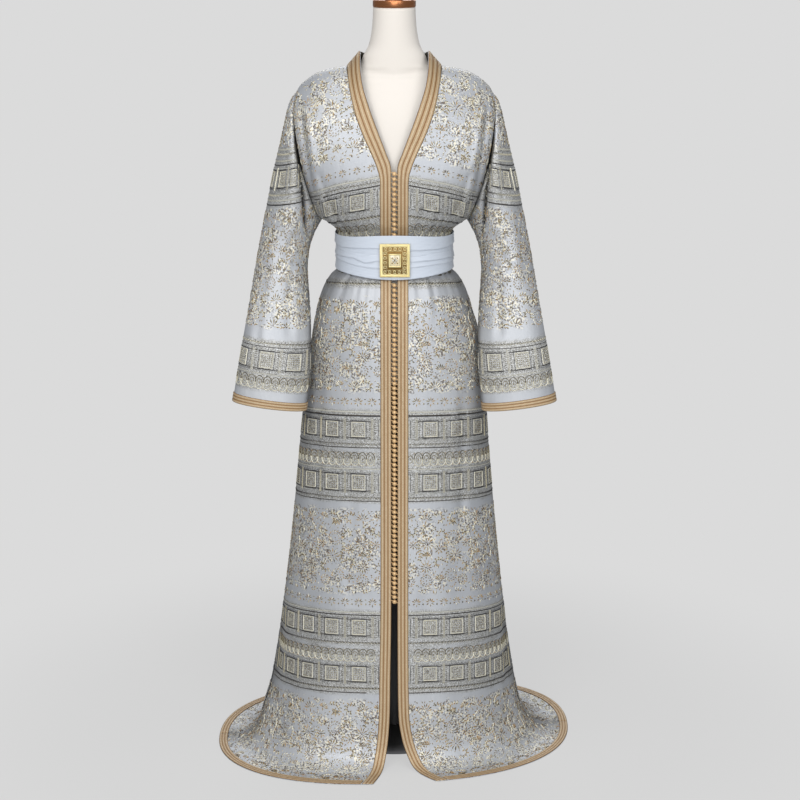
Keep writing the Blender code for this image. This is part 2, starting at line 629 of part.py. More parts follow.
def build_buttons():
    """Three runs of knotted balls down the front, each a cord that swells at every ball."""
    rows = np.linspace(0, UNDERARM_ROW + ARMHOLE_ROWS, 400)
    edge = front_surface(LEFT)(rows, np.zeros_like(rows))
    order = np.argsort(edge[:, 2])
    turn = np.arange(BUTTON_SIDES) * 2 * math.pi / BUTTON_SIDES
    for name, low, high in BUTTON_STRETCHES:
        count = int(round((high - low) / BUTTON_PITCH))
        pitch = (high - low) / count
        points = []
        for step in range(2 * count + 1):
            height = low + step * pitch / 2
            radius = BUTTON_RADIUS if step % 2 else BUTTON_NECK
            depth = np.interp(height, edge[order, 2], edge[order, 1]) - 0.0010
            points += [(radius * math.cos(a), depth + radius * math.sin(a), height) for a in turn]
        add_rings(name, points, 2 * count + 1, BUTTON_SIDES, "button_gold")


def build_form():
    """The limbless form, its neck cap and knob, and the stand that carries it."""
    turn = np.arange(FORM_SIDES) * 2 * math.pi / FORM_SIDES
    points = []
    for height, half_width, front, back, power in FORM_ROWS:
        for angle in turn:
            side_part, depth_part = math.cos(angle), math.sin(angle)
            x = half_width * math.copysign(abs(side_part) ** (2 / power), side_part)
            depth = back if depth_part > 0 else front
            y = depth * math.copysign(abs(depth_part) ** (2 / power), depth_part)
            points.append((x, y, height))
    add_rings("form_torso", points, len(FORM_ROWS), FORM_SIDES, "form_linen")
    cap = ((CAP_LOW, CAP_RADIUS - 0.001), (CAP_LOW + 0.002, CAP_RADIUS))
    cap += ((CAP_HIGH - 0.002, CAP_RADIUS), (CAP_HIGH, CAP_RADIUS - 0.002))
    add_turned("neck_cap", cap, TURNED_SIDES, "copper")
    add_turned("cap_knob", KNOB_PROFILE, TURNED_SIDES, "turned_wood")
    pole = ((BASE_HEIGHT + GAP, POLE_RADIUS), (POLE_TOP, POLE_RADIUS))
    add_turned("stand_pole", pole, TURNED_SIDES // 2, "stand_metal")
    add_turned("stand_base", BASE_PROFILE, TURNED_SIDES, "stand_metal")


def main():
    for obj in list(bpy.data.objects):
        bpy.data.objects.remove(obj)
    neck_base = build_body()
    build_collar(neck_base)
    build_sleeves()
    build_belt()
    build_buckle()
    build_buttons()
    build_form()


main()
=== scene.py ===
"""The looks of a long open-front brocade kaftan with a pleated belt, on a limbless dress form.

Metres. +Z is up, the front faces -Y and the wearer's right is at -X. Each piece of cloth is a thin
shell on the form of its solid. The brocade's figures are small raised bodies that are drawn in the
cloth's own coordinates: u runs across the cloth and l up it, both measured along the cloth.
"""

from __future__ import annotations

import logging
import math
from dataclasses import dataclass, field
from enum import Enum
from typing import Callable, Sequence

import bpy
import numpy as np
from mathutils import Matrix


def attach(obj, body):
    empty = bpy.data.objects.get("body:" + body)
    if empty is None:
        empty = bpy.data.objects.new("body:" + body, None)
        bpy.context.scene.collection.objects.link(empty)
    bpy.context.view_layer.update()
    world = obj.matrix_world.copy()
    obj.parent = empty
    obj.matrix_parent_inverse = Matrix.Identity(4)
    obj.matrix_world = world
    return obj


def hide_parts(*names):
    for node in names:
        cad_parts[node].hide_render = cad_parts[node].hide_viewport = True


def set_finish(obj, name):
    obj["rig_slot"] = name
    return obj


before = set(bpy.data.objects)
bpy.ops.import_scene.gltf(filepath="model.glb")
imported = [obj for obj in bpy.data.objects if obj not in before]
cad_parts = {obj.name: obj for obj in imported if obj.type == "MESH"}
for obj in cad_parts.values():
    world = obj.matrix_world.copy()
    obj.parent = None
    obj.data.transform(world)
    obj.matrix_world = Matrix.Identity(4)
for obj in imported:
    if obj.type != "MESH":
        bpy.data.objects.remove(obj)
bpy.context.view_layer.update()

Array = np.ndarray
Surface = Callable[[Array, Array], Array]
LOG = logging.getLogger("kaftan")

CLOTH = 0.0012
BRAID = 0.0015
GAP = 0.0003
FLOOR_CLEAR = 0.0004
FULL_TURN = 2 * math.pi


class Side(Enum):
    """The wearer's side that a piece belongs to."""

    RIGHT = -1
    LEFT = 1

    @property
    def word(self) -> str:
        """The side's name in lower case."""
        return self.name.lower()


# ---------------------------------------------------------------------------------------------
# Curves, tables and meshes
# ---------------------------------------------------------------------------------------------


def smooth(knots: Sequence[float], values: Sequence[float], at: Array) -> Array:
    """Read a curve that passes through its knots and doesn't overshoot them.

    Args:
        knots: The places of the knots, rising.
        values: The curve's value at each knot.
        at: The places to read.

    Returns:
        The values there, held level past both ends.
    """
    knots = np.asarray(knots, float)
    values = np.asarray(values, float)
    steps = np.diff(knots)
    slopes = np.diff(values) / steps
    tangents = np.zeros(len(knots))
    tangents[0], tangents[-1] = slopes[0], slopes[-1]
    before, after = slopes[:-1], slopes[1:]
    same_way = before * after > 0
    tangents[1:-1][same_way] = (2 * before * after)[same_way] / (before + after)[same_way]
    at = np.clip(np.asarray(at, float), knots[0], knots[-1])
    piece = np.clip(np.searchsorted(knots, at, side="right") - 1, 0, len(steps) - 1)
    step = steps[piece]
    part = (at - knots[piece]) / step
    left, right = values[piece], values[piece + 1]
    bend_left, bend_right = tangents[piece] * step, tangents[piece + 1] * step
    return (
        left * (1 + 2 * part) * (1 - part) ** 2
        + bend_left * part * (1 - part) ** 2
        + right * part**2 * (3 - 2 * part)
        + bend_right * part**2 * (part - 1)
    )


def pairs_at(pairs: Sequence[tuple[float, float]], at: Array) -> Array:
    """Read a smooth curve that is given as pairs of place and value."""
    return smooth([pair[0] for pair in pairs], [pair[1] for pair in pairs], at)


def round_off(part: Array, power: float) -> Array:
    """Give the height of a superellipse of that power at a fraction of its half width."""
    return np.clip(1 - np.abs(part) ** power, 0, None) ** (1 / power)


def ease(part: Array) -> Array:
    """Turn a straight ramp from 0 to 1 into one that starts and ends gently."""
    part = np.clip(part, 0, 1)
    return part * part * (3 - 2 * part)


def unit(vectors: Array) -> Array:
    """Scale vectors to a length of one."""
    return vectors / np.maximum(np.linalg.norm(vectors, axis=-1, keepdims=True), 1e-12)


def grid_normals(points: Array) -> Array:
    """Give the unit normals of a grid, on the side where columns run right and rows run up."""
    return unit(np.cross(np.gradient(points, axis=1), np.gradient(points, axis=0)))


def linear(red: int, green: int, blue: int) -> tuple[float, float, float]:
    """Turn a colour given in steps of 0 to 255 on a screen into amounts of light."""
    shares = np.array((red, green, blue)) / 255
    light = np.where(shares > 0.04045, ((shares + 0.055) / 1.055) ** 2.4, shares / 12.92)
    return tuple(float(value) for value in light)


class Table:
    """Rows of named columns that are read between the rows."""

    def __init__(self, names: str, rows: Sequence[Sequence[float]]) -> None:
        """Keep the rows under the names, which are parted by spaces."""
        self.names = names.split()
        self.rows = np.array(rows, float)

    def column(self, name: str) -> Array:
        """Give one named column."""
        return self.rows[:, self.names.index(name)]

    def read(self, name: str, at: Array) -> Array:
        """Read a column at a row number, which may lie between two rows."""
        return smooth(np.arange(len(self.rows)), self.column(name), at)

    def along(self, key: str, name: str, at: Array) -> Array:
        """Read a column at a value of another column."""
        return smooth(self.column(key), self.column(name), at)


def add_mesh(
    name: str,
    points: Array,
    faces: Sequence[Array],
    materials: Sequence[bpy.types.Material],
    slots: Array | None = None,
    corner_colours: Array | None = None,
    point_colours: Array | None = None,
    uv: Array | None = None,
    smooth_shade: bool = True,
) -> bpy.types.Object:
    """Make an object from points and faces.

    Args:
        name: The object's name.
        points: The points, one row each.
        faces: Arrays of faces, each array with one number of corners.
        materials: The materials, in the order of their slots.
        slots: The slot of each face, or None for the first.
        corner_colours: The thread colour at each corner of each face.
        point_colours: The weave values at each point: band, painted shade and floral shares.
        uv: Coordinates along and across the piece at each point.
        smooth_shade: Whether the faces are shaded smooth.

    Returns:
        The linked object.
    """
    faces = [np.asarray(group, np.int32) for group in faces if len(group)]
    sizes = np.concatenate([np.full(len(group), group.shape[1], np.int32) for group in faces])
    corners = np.concatenate([group.ravel() for group in faces])
    mesh = bpy.data.meshes.new(name)
    mesh.vertices.add(len(points))
    mesh.vertices.foreach_set("co", np.asarray(points, np.float32).ravel())
    mesh.loops.add(len(corners))
    mesh.loops.foreach_set("vertex_index", corners)
    mesh.polygons.add(len(sizes))
    starts = np.concatenate([[0], np.cumsum(sizes)[:-1]]).astype(np.int32)
    mesh.polygons.foreach_set("loop_start", starts)
    mesh.polygons.foreach_set("use_smooth", np.full(len(sizes), smooth_shade))
    for material in materials:
        mesh.materials.append(material)
    if slots is not None:
        mesh.polygons.foreach_set("material_index", np.asarray(slots, np.int32))
    if uv is not None:
        layer = mesh.uv_layers.new(name="strip")
        layer.data.foreach_set("uv", np.asarray(uv, np.float32)[corners].ravel())
    if corner_colours is not None:
        layer = mesh.color_attributes.new("thread", "FLOAT_COLOR", "CORNER")
        layer.data.foreach_set("color", np.asarray(corner_colours, np.float32).ravel())
    if point_colours is not None:
        layer = mesh.color_attributes.new("weave_and_shade", "FLOAT_COLOR", "POINT")
        layer.data.foreach_set("color", np.asarray(point_colours, np.float32).ravel())
    mesh.update(calc_edges=True)
    mesh.validate()
    obj = bpy.data.objects.new(name, mesh)
    bpy.context.scene.collection.objects.link(obj)
    return obj


def grid_faces(rows: int, cols: int, start: int = 0, ring: bool = False) -> Array:
    """List the quads of a grid of points.

    Args:
        rows: The number of rows.
        cols: The number of columns.
        start: The number of the grid's first point.
        ring: Whether the last column joins the first.

    Returns:
        One row of four point numbers for each quad.
    """
    across = np.arange(cols if ring else cols - 1)
    low = np.arange(rows - 1)[:, None] * cols
    after = (across + 1) % cols
    quads = np.stack([low + across, low + after, low + cols + after, low + cols + across], axis=-1)
    return quads.reshape(-1, 4) + start


def settle(obj: bpy.types.Object, slot: str, *nodes: str) -> bpy.types.Object:
    """Let a piece ride on the body, take its finish's slot and stand for its solids."""
    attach(obj, "root")
    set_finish(obj, slot)
    if nodes:
        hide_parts(*nodes)
    LOG.info("%s: %d faces", obj.name, len(obj.data.polygons))
    return obj


def quads_of(number: Array) -> Array:
    """List the four corners of every cell of a grid of point numbers."""
    cells = (number[:-1, :-1], number[:-1, 1:], number[1:, 1:], number[1:, :-1])
    return np.stack(cells, axis=-1).reshape(-1, 4)


def capped(rings: int, sides: int) -> list[Array]:
    """List the faces of a body of stacked rings, closed at both ends."""
    last = (rings - 1) * sides
    caps = [np.arange(sides)[::-1][None], np.arange(last, last + sides)[None]]
    return [grid_faces(rings, sides, ring=True), *caps]


def turned_shape(profile: Array, sides: int) -> tuple:
    """Give the points and faces of a turned solid.

    Args:
        profile: Pairs of height and radius, from the bottom up.
        sides: The number of sides.

    Returns:
        The points, and the faces as a list of arrays.
    """
    turn = np.arange(sides) * FULL_TURN / sides
    height, radius = profile[:, :1], profile[:, 1:]
    x = radius * np.cos(turn)
    y = radius * np.sin(turn)
    points = np.stack([x, y, np.broadcast_to(height, x.shape)], axis=-1).reshape(-1, 3)
    return points, capped(len(profile), sides)


# ---------------------------------------------------------------------------------------------
# Finishes
# ---------------------------------------------------------------------------------------------


class Thread(Enum):
    """A colour of figure thread in the brocade."""

    CREAM = linear(250, 246, 226)
    SILVER = linear(216, 218, 214)
    BEIGE = linear(198, 190, 162)
    GOLD = linear(178, 140, 84)
    OLIVE = linear(116, 100, 62)
    BROWN = linear(116, 84, 48)
    SLATE = linear(82, 86, 96)
    DARK = linear(52, 45, 36)


THREADS = list(Thread)
THREAD_LIGHTS = np.array([(*thread.value, 1.0) for thread in THREADS])


class Nodes:
    """A short way to lay out the nodes of one material."""

    def __init__(self, name: str) -> None:
        """Start a material that holds one Principled shader."""
        self.material = bpy.data.materials.new(name)
        self.material.use_nodes = True
        self.tree = self.material.node_tree
        self.shader = self.tree.nodes["Principled BSDF"]
        self.place = self.tree.nodes.new("ShaderNodeTexCoord").outputs["Object"]

    def set(self, **values: object) -> None:
        """Set the shader's sockets, named with _ for each space."""
        for name, value in values.items():
            self.shader.inputs[name.replace("_", " ")].default_value = value

    def link(self, output: bpy.types.NodeSocket, socket: str) -> None:
        """Link an output to one of the shader's sockets."""
        self.tree.links.new(output, self.shader.inputs[socket])

    def add(self, kind: str, links: dict | None = None, **values: object) -> bpy.types.Node:
        """Add a node.

        Args:
            kind: The node's type, without its ShaderNode prefix.
            links: The outputs that go to its sockets, by the socket's name or number.
            **values: Properties of the node.

        Returns:
            The node.
        """
        node = self.tree.nodes.new("ShaderNode" + kind)
        for name, value in values.items():
            setattr(node, name, value)
        for socket, output in (links or {}).items():
            if isinstance(output, bpy.types.NodeSocket):
                self.tree.links.new(output, node.inputs[socket])
            else:
                node.inputs[socket].default_value = output
        return node

    def stretched(self, scale: tuple[float, float, float]) -> bpy.types.NodeSocket:
        """Give the object's coordinates, scaled."""
        node = self.add("Mapping", {"Vector": self.place, "Scale": scale})
        return node.outputs["Vector"]

    def noise(self, vector: bpy.types.NodeSocket, scale: float, detail: float = 3) -> bpy.types.NodeSocket:
        """Give a noise from 0 to 1."""
        node = self.add("TexNoise", {"Vector": vector, "Scale": scale, "Detail": detail})
        return node.outputs["Fac"]

    def math(self, operation: str, first: object, second: object = 0.0) -> bpy.types.NodeSocket:
        """Give the result of a sum on one or two values."""
        node = self.add("Math", {0: first, 1: second}, operation=operation)
        return node.outputs[0]

    def spread(self, value: bpy.types.NodeSocket, low: float, high: float) -> bpy.types.NodeSocket:
        """Turn a value from 0 to 1 into one from low to high."""
        node = self.add("MapRange", {"Value": value, "To Min": low, "To Max": high})
        return node.outputs["Result"]

    def mix(self, share: object, first: object, second: object, kind: str = "MIX") -> bpy.types.NodeSocket:
        """Mix two colours, each given as an output or as three amounts of light."""
        links = {"Factor": share}
        for socket, colour in (("A", first), ("B", second)):
            links[socket] = (*colour, 1.0) if isinstance(colour, tuple) else colour
        node = self.tree.nodes.new("ShaderNodeMix")
        node.data_type = "RGBA"
        node.blend_type = kind
        sockets = {"Factor": node.inputs[0], "A": node.inputs[6], "B": node.inputs[7]}
        for name, value in links.items():
            if isinstance(value, bpy.types.NodeSocket):
                self.tree.links.new(value, sockets[name])
            else:
                sockets[name].default_value = value
        return node.outputs[2]

    def ramp(self, value: bpy.types.NodeSocket, stops: Sequence[tuple[float, tuple]]) -> bpy.types.NodeSocket:
        """Turn a value into a colour through stops of place and colour."""
        node = self.add("ValToRGB", {"Fac": value})
        band = node.color_ramp
        while len(band.elements) < len(stops):
            band.elements.new(0.5)
        for element, (place, colour) in zip(band.elements, stops):
            element.position = place
            element.color = (*colour, 1.0)
        return node.outputs["Color"]

    def bump(self, height: bpy.types.NodeSocket, distance: float, strength: float, under: object = None) -> object:
        """Turn a height into a bump, laid over another bump where one is given."""
        links = {"Height": height, "Distance": distance, "Strength": strength}
        if under is not None:
            links["Normal"] = under
        return self.add("Bump", links).outputs["Normal"]


NONE = (0.0, 0.0, 0.0)
ALL = (1.0, 1.0, 1.0)


@dataclass(frozen=True)
class Satin:
    """The silver-blue satin ground of the brocade, greyer where a band is woven."""

    name: str = "silver_satin"
    light: tuple = linear(210, 213, 217)
    deep: tuple = linear(172, 176, 184)
    band: tuple = linear(172, 171, 166)
    hatch: tuple = linear(108, 108, 108)
    spray: tuple = linear(240, 233, 210)
    shade: tuple = linear(88, 70, 44)
    # Painted shade: the near-black colour laid into the armhole crevices, at the side seams and under the sleeves.
    crease: tuple = linear(34, 33, 33)
    roughness: tuple = (0.46, 0.60)
    metallic: float = 0.42

    def material(self) -> bpy.types.Material:
        """Build the material: cloudy tone, warp streaks, soft wrinkles, a fine woven grain and a painted shade in
        crevices, at the side seams and under the sleeves.
        """
        made = Nodes(self.name)
        weave_and_shade = made.add("VertexColor", layer_name="weave_and_shade").outputs["Color"]
        parts = made.add("SeparateColor", {"Color": weave_and_shade})
        in_band, painted_shade_share = parts.outputs[0], parts.outputs[1]
        cloud = made.noise(made.place, 7.0)
        streak = made.noise(made.stretched((260, 260, 9)), 1.0, 4)
        tone = made.mix(cloud, self.deep, self.light)
        tone = made.mix(made.spread(streak, 0.0, 0.30), tone, self.deep)
        ribs = made.noise(made.stretched((420, 420, 560)), 1.0, 2)
        stops = ((0.38, self.hatch), (0.47, self.band), (0.54, self.band), (0.62, self.light))
        tone = made.mix(made.math("MULTIPLY", in_band, 0.9), tone, made.ramp(ribs, stops))
        clump = made.ramp(made.noise(made.place, 30.0, 1), ((0.47, NONE), (0.53, ALL)))
        curls = made.noise(made.place, 260.0, 1)
        for stops, colour in (
            (((0.54, NONE), (0.60, ALL)), self.spray),
            (((0.39, ALL), (0.45, NONE)), self.shade),
        ):
            share = made.math("MULTIPLY", made.math("MULTIPLY", clump, parts.outputs[2]), made.ramp(curls, stops))
            tone = made.mix(made.math("MULTIPLY", share, 0.78), tone, colour)
        # Painted shade: the satin turns towards the crease colour by the painted shade share.
        tone = made.mix(painted_shade_share, tone, self.crease)
        made.link(tone, "Base Color")
        made.link(made.spread(cloud, *self.roughness), "Roughness")
        made.set(Metallic=self.metallic, Sheen_Weight=0.12, Sheen_Roughness=0.4)
        wrinkle = made.noise(made.stretched((26, 26, 8)), 1.0, 3)
        normal = made.bump(wrinkle, 0.006, 0.35)
        fine = made.noise(made.stretched((900, 900, 1800)), 1.0, 2)
        made.link(made.bump(fine, 0.0004, 0.25, normal), "Normal")
        return made.material


@dataclass(frozen=True)
class Reverse:
    """The dull dark wrong side of the brocade."""

    name: str = "cloth_reverse"
    colour: tuple = linear(74, 74, 72)
    floats: tuple = linear(104, 98, 84)

    def material(self) -> bpy.types.Material:
        """Build the material: loose thread floats on a dull ground."""
        made = Nodes(self.name)
        floats = made.noise(made.stretched((300, 300, 60)), 1.0, 3)
        made.link(made.mix(floats, self.colour, self.floats), "Base Color")
        made.link(made.spread(floats, 0.7, 0.9), "Roughness")
        made.link(made.bump(floats, 0.0005, 0.4), "Normal")
        return made.material


@dataclass(frozen=True)
class Threads:
    """The metallic threads of the figures, in the colours that each face carries."""

    name: str = "figure_thread"
    metallic: float = 0.30

    def material(self) -> bpy.types.Material:
        """Build the material: the thread's colour with a fine twist."""
        made = Nodes(self.name)
        colour = made.add("VertexColor", layer_name="thread").outputs["Color"]
        twist = made.noise(made.place, 900.0, 2)
        shade = made.mix(made.spread(twist, 0.0, 0.45), colour, linear(70, 64, 52))
        made.link(shade, "Base Color")
        made.link(made.spread(twist, 0.38, 0.60), "Roughness")
        made.set(Metallic=self.metallic)
        made.link(made.bump(twist, 0.0003, 0.3), "Normal")
        return made.material


@dataclass(frozen=True)
class BraidFinish:
    """Gold-tan metallic braid. Its strip coordinates run along it and across it."""

    name: str = "gold_braid"
    # Groove brown: partly the braid's brown thread, partly painted shade between cords and plaits. The crest colour is
    # a painted highlight.
    groove: tuple = linear(134, 94, 52)
    body: tuple = linear(196, 172, 136)
    crest_highlight: tuple = linear(232, 218, 190)
    plait: float = 0.0034
    cords: int = 3

    def material(self) -> bpy.types.Material:
        """Build the material: rows of slanted plaits, with a painted highlight on the crests and brown between, partly
        brown thread and partly painted shade.
        """
        made = Nodes(self.name)
        strip = made.add("SeparateXYZ", {"Vector": made.add("UVMap", uv_map="strip").outputs[0]})
        along, across = strip.outputs[0], strip.outputs[1]
        cell = made.math("FRACT", made.math("MULTIPLY", across, float(self.cords)))
        centred = made.math("ABSOLUTE", made.math("SUBTRACT", cell, 0.5))
        crest_highlight = made.math("SUBTRACT", 1.0, made.math("MULTIPLY", centred, 2.0))
        slant = made.math("ADD", made.math("DIVIDE", along, self.plait), made.math("MULTIPLY", centred, 1.6))
        ridge = made.math("SINE", made.math("MULTIPLY", slant, FULL_TURN))
        ridge = made.spread(made.math("MULTIPLY_ADD", ridge, 0.5), 0.0, 1.0)
        stops = ((0.0, self.groove), (0.14, self.groove), (0.30, self.body), (0.72, self.body), (1.0, self.crest_highlight))
        tone = made.ramp(crest_highlight, stops)
        worn = made.noise(made.place, 160.0, 3)
        # Painted shade: the low parts of each plait turn towards the groove colour.
        tone = made.mix(made.spread(ridge, 0.30, 0.0), tone, self.groove)
        tone = made.mix(made.spread(worn, 0.0, 0.35), tone, self.groove)
        made.link(tone, "Base Color")
        made.link(made.spread(worn, 0.36, 0.55), "Roughness")
        made.set(Metallic=0.15)
        made.link(made.bump(ridge, 0.0004, 0.6), "Normal")
        return made.material


@dataclass(frozen=True)
class Speckled:
    """A finish whose tone, gloss and surface vary with one noise."""

    name: str
    light: tuple
    dark: tuple
    scale: tuple = (200.0, 200.0, 200.0)
    share: tuple = (0.0, 1.0)
    roughness: tuple = (0.4, 0.6)
    metallic: float = 0.0
    bump_size: float = 0.0004
    bump_strength: float = 0.3
    sheen: float = 0.0
    coat: float = 0.0
    broad: float = 9.0

    def material(self) -> bpy.types.Material:
        """Build the material from a fine noise, with a broad one under it."""
        made = Nodes(self.name)
        fine = made.noise(made.stretched(self.scale), 1.0, 3)
        broad = made.noise(made.place, self.broad, 2)
        tone = made.mix(made.spread(fine, *self.share), self.light, self.dark)
        tone = made.mix(made.spread(broad, 0.0, 0.25), tone, self.dark)
        made.link(tone, "Base Color")
        made.link(made.spread(fine, *self.roughness), "Roughness")
        made.set(Metallic=self.metallic, Sheen_Weight=self.sheen, Coat_Weight=self.coat)
        made.set(Coat_Roughness=0.15)
        made.link(made.bump(fine, self.bump_size, self.bump_strength), "Normal")
        return made.material


SPECKLED = {
    "cord": Speckled(
        "button_cord", linear(250, 218, 168), linear(190, 148, 100), (700.0, 700.0, 700.0),
        (0.0, 0.8), (0.30, 0.5), 0.25, 0.0003, 0.5,
    ),
    "crepe": Speckled(
        "belt_crepe", linear(214, 222, 234), linear(188, 199, 216), (900.0, 900.0, 1500.0),
        (0.0, 0.5), (0.42, 0.56), 0.0, 0.0003, 0.25, sheen=0.2, broad=14.0,
    ),
    "gold": Speckled(
        "buckle_gold", linear(255, 250, 206), linear(250, 228, 160), (420.0, 420.0, 420.0),
        (0.0, 0.8), (0.26, 0.42), 0.45, 0.0002, 0.3,
    ),
    "recess": Speckled(
        "buckle_recess", linear(176, 140, 76), linear(96, 72, 36), (300.0, 300.0, 300.0),
        (0.0, 1.0), (0.4, 0.6), 0.6,
    ),
    "enamel": Speckled(
        "buckle_enamel", linear(246, 236, 208), linear(216, 198, 160), (500.0, 500.0, 500.0),
        (0.0, 0.8), (0.14, 0.3), 0.0, 0.0002, 0.2, coat=0.5,
    ),
    "crystal": Speckled(
        "buckle_crystal", linear(226, 226, 220), linear(176, 168, 150), (260.0, 260.0, 260.0),
        (0.0, 0.6), (0.04, 0.12), 0.35, 0.0001, 0.1, coat=1.0,
    ),
    "linen": Speckled(
        "form_linen", linear(240, 235, 229), linear(226, 219, 211), (1100.0, 1100.0, 1500.0),
        (0.0, 0.6), (0.75, 0.9), 0.0, 0.0003, 0.25, sheen=0.1,
    ),
    "copper": Speckled(
        "copper", linear(206, 140, 96), linear(140, 84, 52), (60.0, 60.0, 900.0),
        (0.0, 0.7), (0.22, 0.36), 0.9, 0.0001, 0.2,
    ),
    "wood": Speckled(
        "turned_wood", linear(150, 100, 62), linear(84, 48, 24), (26.0, 26.0, 240.0),
        (0.1, 1.0), (0.30, 0.45), 0.0, 0.0003, 0.2, coat=0.4,
    ),
    "coat": Speckled(
        "stand_coat", linear(122, 122, 124), linear(96, 96, 98), (900.0, 900.0, 900.0),
        (0.0, 0.6), (0.42, 0.55), 0.2, 0.0002, 0.3,
    ),
}


class Finishes:
    """Every finish of the part, each built once."""

    def __init__(self) -> None:
        """Build the finishes."""
        self.satin = Satin().material()
        self.reverse = Reverse().material()
        self.threads = Threads().material()
        self.braid = BraidFinish().material()
        for name, finish in SPECKLED.items():
            setattr(self, name, finish.material())


# ---------------------------------------------------------------------------------------------
# The cut: the form of each piece of cloth
# ---------------------------------------------------------------------------------------------

BODY = Table(
    "height right_half left_half front back right_edge left_edge",
    (
        (0.0020, 0.382, 0.382, 0.291, 0.291, 0.0440, 0.0870),
        (0.0020, 0.364, 0.364, 0.274, 0.274, 0.0380, 0.0720),
        (0.0020, 0.338, 0.338, 0.252, 0.254, 0.0310, 0.0560),
        (0.0080, 0.314, 0.312, 0.230, 0.234, 0.0235, 0.0400),
        (0.0280, 0.298, 0.291, 0.213, 0.217, 0.0180, 0.0270),
        (0.0660, 0.287, 0.275, 0.203, 0.206, 0.0127, 0.0145),
        (0.1150, 0.272, 0.265, 0.197, 0.200, 0.0098, 0.0080),
        (0.1970, 0.256, 0.251, 0.187, 0.191, 0.0085, 0.0065),
        (0.3260, 0.237, 0.232, 0.172, 0.178, 0.0065, 0.0060),
        (0.4530, 0.221, 0.218, 0.159, 0.168, 0.0060, 0.0060),
        (0.5780, 0.208, 0.206, 0.148, 0.159, 0.0060, 0.0060),
        (0.7010, 0.196, 0.196, 0.139, 0.152, 0.0060, 0.0060),
        (0.7930, 0.185, 0.191, 0.133, 0.147, 0.0060, 0.0060),
        (0.8830, 0.173, 0.179, 0.127, 0.140, 0.0060, 0.0060),
        (0.9430, 0.162, 0.162, 0.121, 0.129, 0.0060, 0.0060),
        (0.9850, 0.148, 0.148, 0.113, 0.116, 0.0060, 0.0060),
        (1.0140, 0.131, 0.131, 0.1045, 0.104, 0.0060, 0.0060),
        (1.0310, 0.1160, 0.1160, 0.0970, 0.0925, 0.0060, 0.0060),
        (1.0690, 0.1150, 0.1150, 0.0955, 0.0910, 0.0060, 0.0060),
        (1.1070, 0.1165, 0.1165, 0.0980, 0.0925, 0.0060, 0.0060),
        (1.1350, 0.1470, 0.1470, 0.1120, 0.1050, 0.0060, 0.0060),
    ),
)
CHEST = Table(
    "height front back",
    ((1.135, 0.112, 0.105), (1.175, 0.119, 0.110), (1.225, 0.122, 0.113)),
)
SLEEVE = Table(
    "outer_x outer_z inner_x inner_z forward half_depth bow",
    (
        (0.1985, 1.3920, 0.1470, 1.1350, 0.000, 0.062, 0.018),
        (0.2110, 1.3750, 0.1520, 1.1270, 0.001, 0.067, 0.012),
        (0.2325, 1.2940, 0.1690, 1.0940, 0.004, 0.067, 0.005),
        (0.2470, 1.2370, 0.1775, 1.0620, 0.008, 0.063, 0.000),
        (0.2630, 1.1600, 0.1800, 1.0250, 0.014, 0.057, 0.000),
        (0.2800, 1.0750, 0.1765, 0.9750, 0.028, 0.051, 0.000),
        (0.2985, 0.9700, 0.1725, 0.9050, 0.050, 0.046, 0.000),
        (0.3165, 0.8700, 0.1730, 0.8400, 0.078, 0.041, 0.000),
        (0.3340, 0.7680, 0.1820, 0.7480, 0.094, 0.036, 0.000),
    ),
)


@dataclass(frozen=True)
class Fold:
    """A large soft fold of the skirt, placed across a panel from its centre to the side seam."""

    panel: str
    side: Side
    across: float
    spread: float
    low: float
    high: float
    out: float

    def push(self, across: Array, height: Array) -> Array:
        """Tell how far the fold moves the cloth out at a place."""
        near = np.exp(-(((across - self.across) / self.spread) ** 2))
        rise = np.clip((height - self.low) / (0.25 * (self.high - self.low)), 0, 1)
        fade = np.clip((self.high - height) / (0.50 * (self.high - self.low)), 0, 1)
        return self.out * near * np.sin(rise * math.pi / 2) * np.sin(fade * math.pi / 2)


FOLDS = (
    Fold("front", Side.LEFT, 0.62, 0.10, 0.30, 0.72, -0.0050),
    Fold("front", Side.RIGHT, 0.90, 0.10, 0.02, 0.26, -0.0090),
    Fold("front", Side.LEFT, 0.90, 0.10, 0.02, 0.28, -0.0100),
    Fold("front", Side.RIGHT, 0.55, 0.14, 0.02, 0.40, 0.0040),
    Fold("back", Side.RIGHT, 0.40, 0.14, 0.02, 0.85, -0.0090),
    Fold("back", Side.LEFT, 0.46, 0.14, 0.02, 0.80, -0.0090),
    Fold("back", Side.RIGHT, 0.84, 0.10, 0.02, 0.60, -0.0080),
    Fold("back", Side.LEFT, 0.88, 0.10, 0.02, 0.55, -0.0080),
    Fold("back", Side.LEFT, 0.04, 0.12, 0.02, 0.90, 0.0060),
)


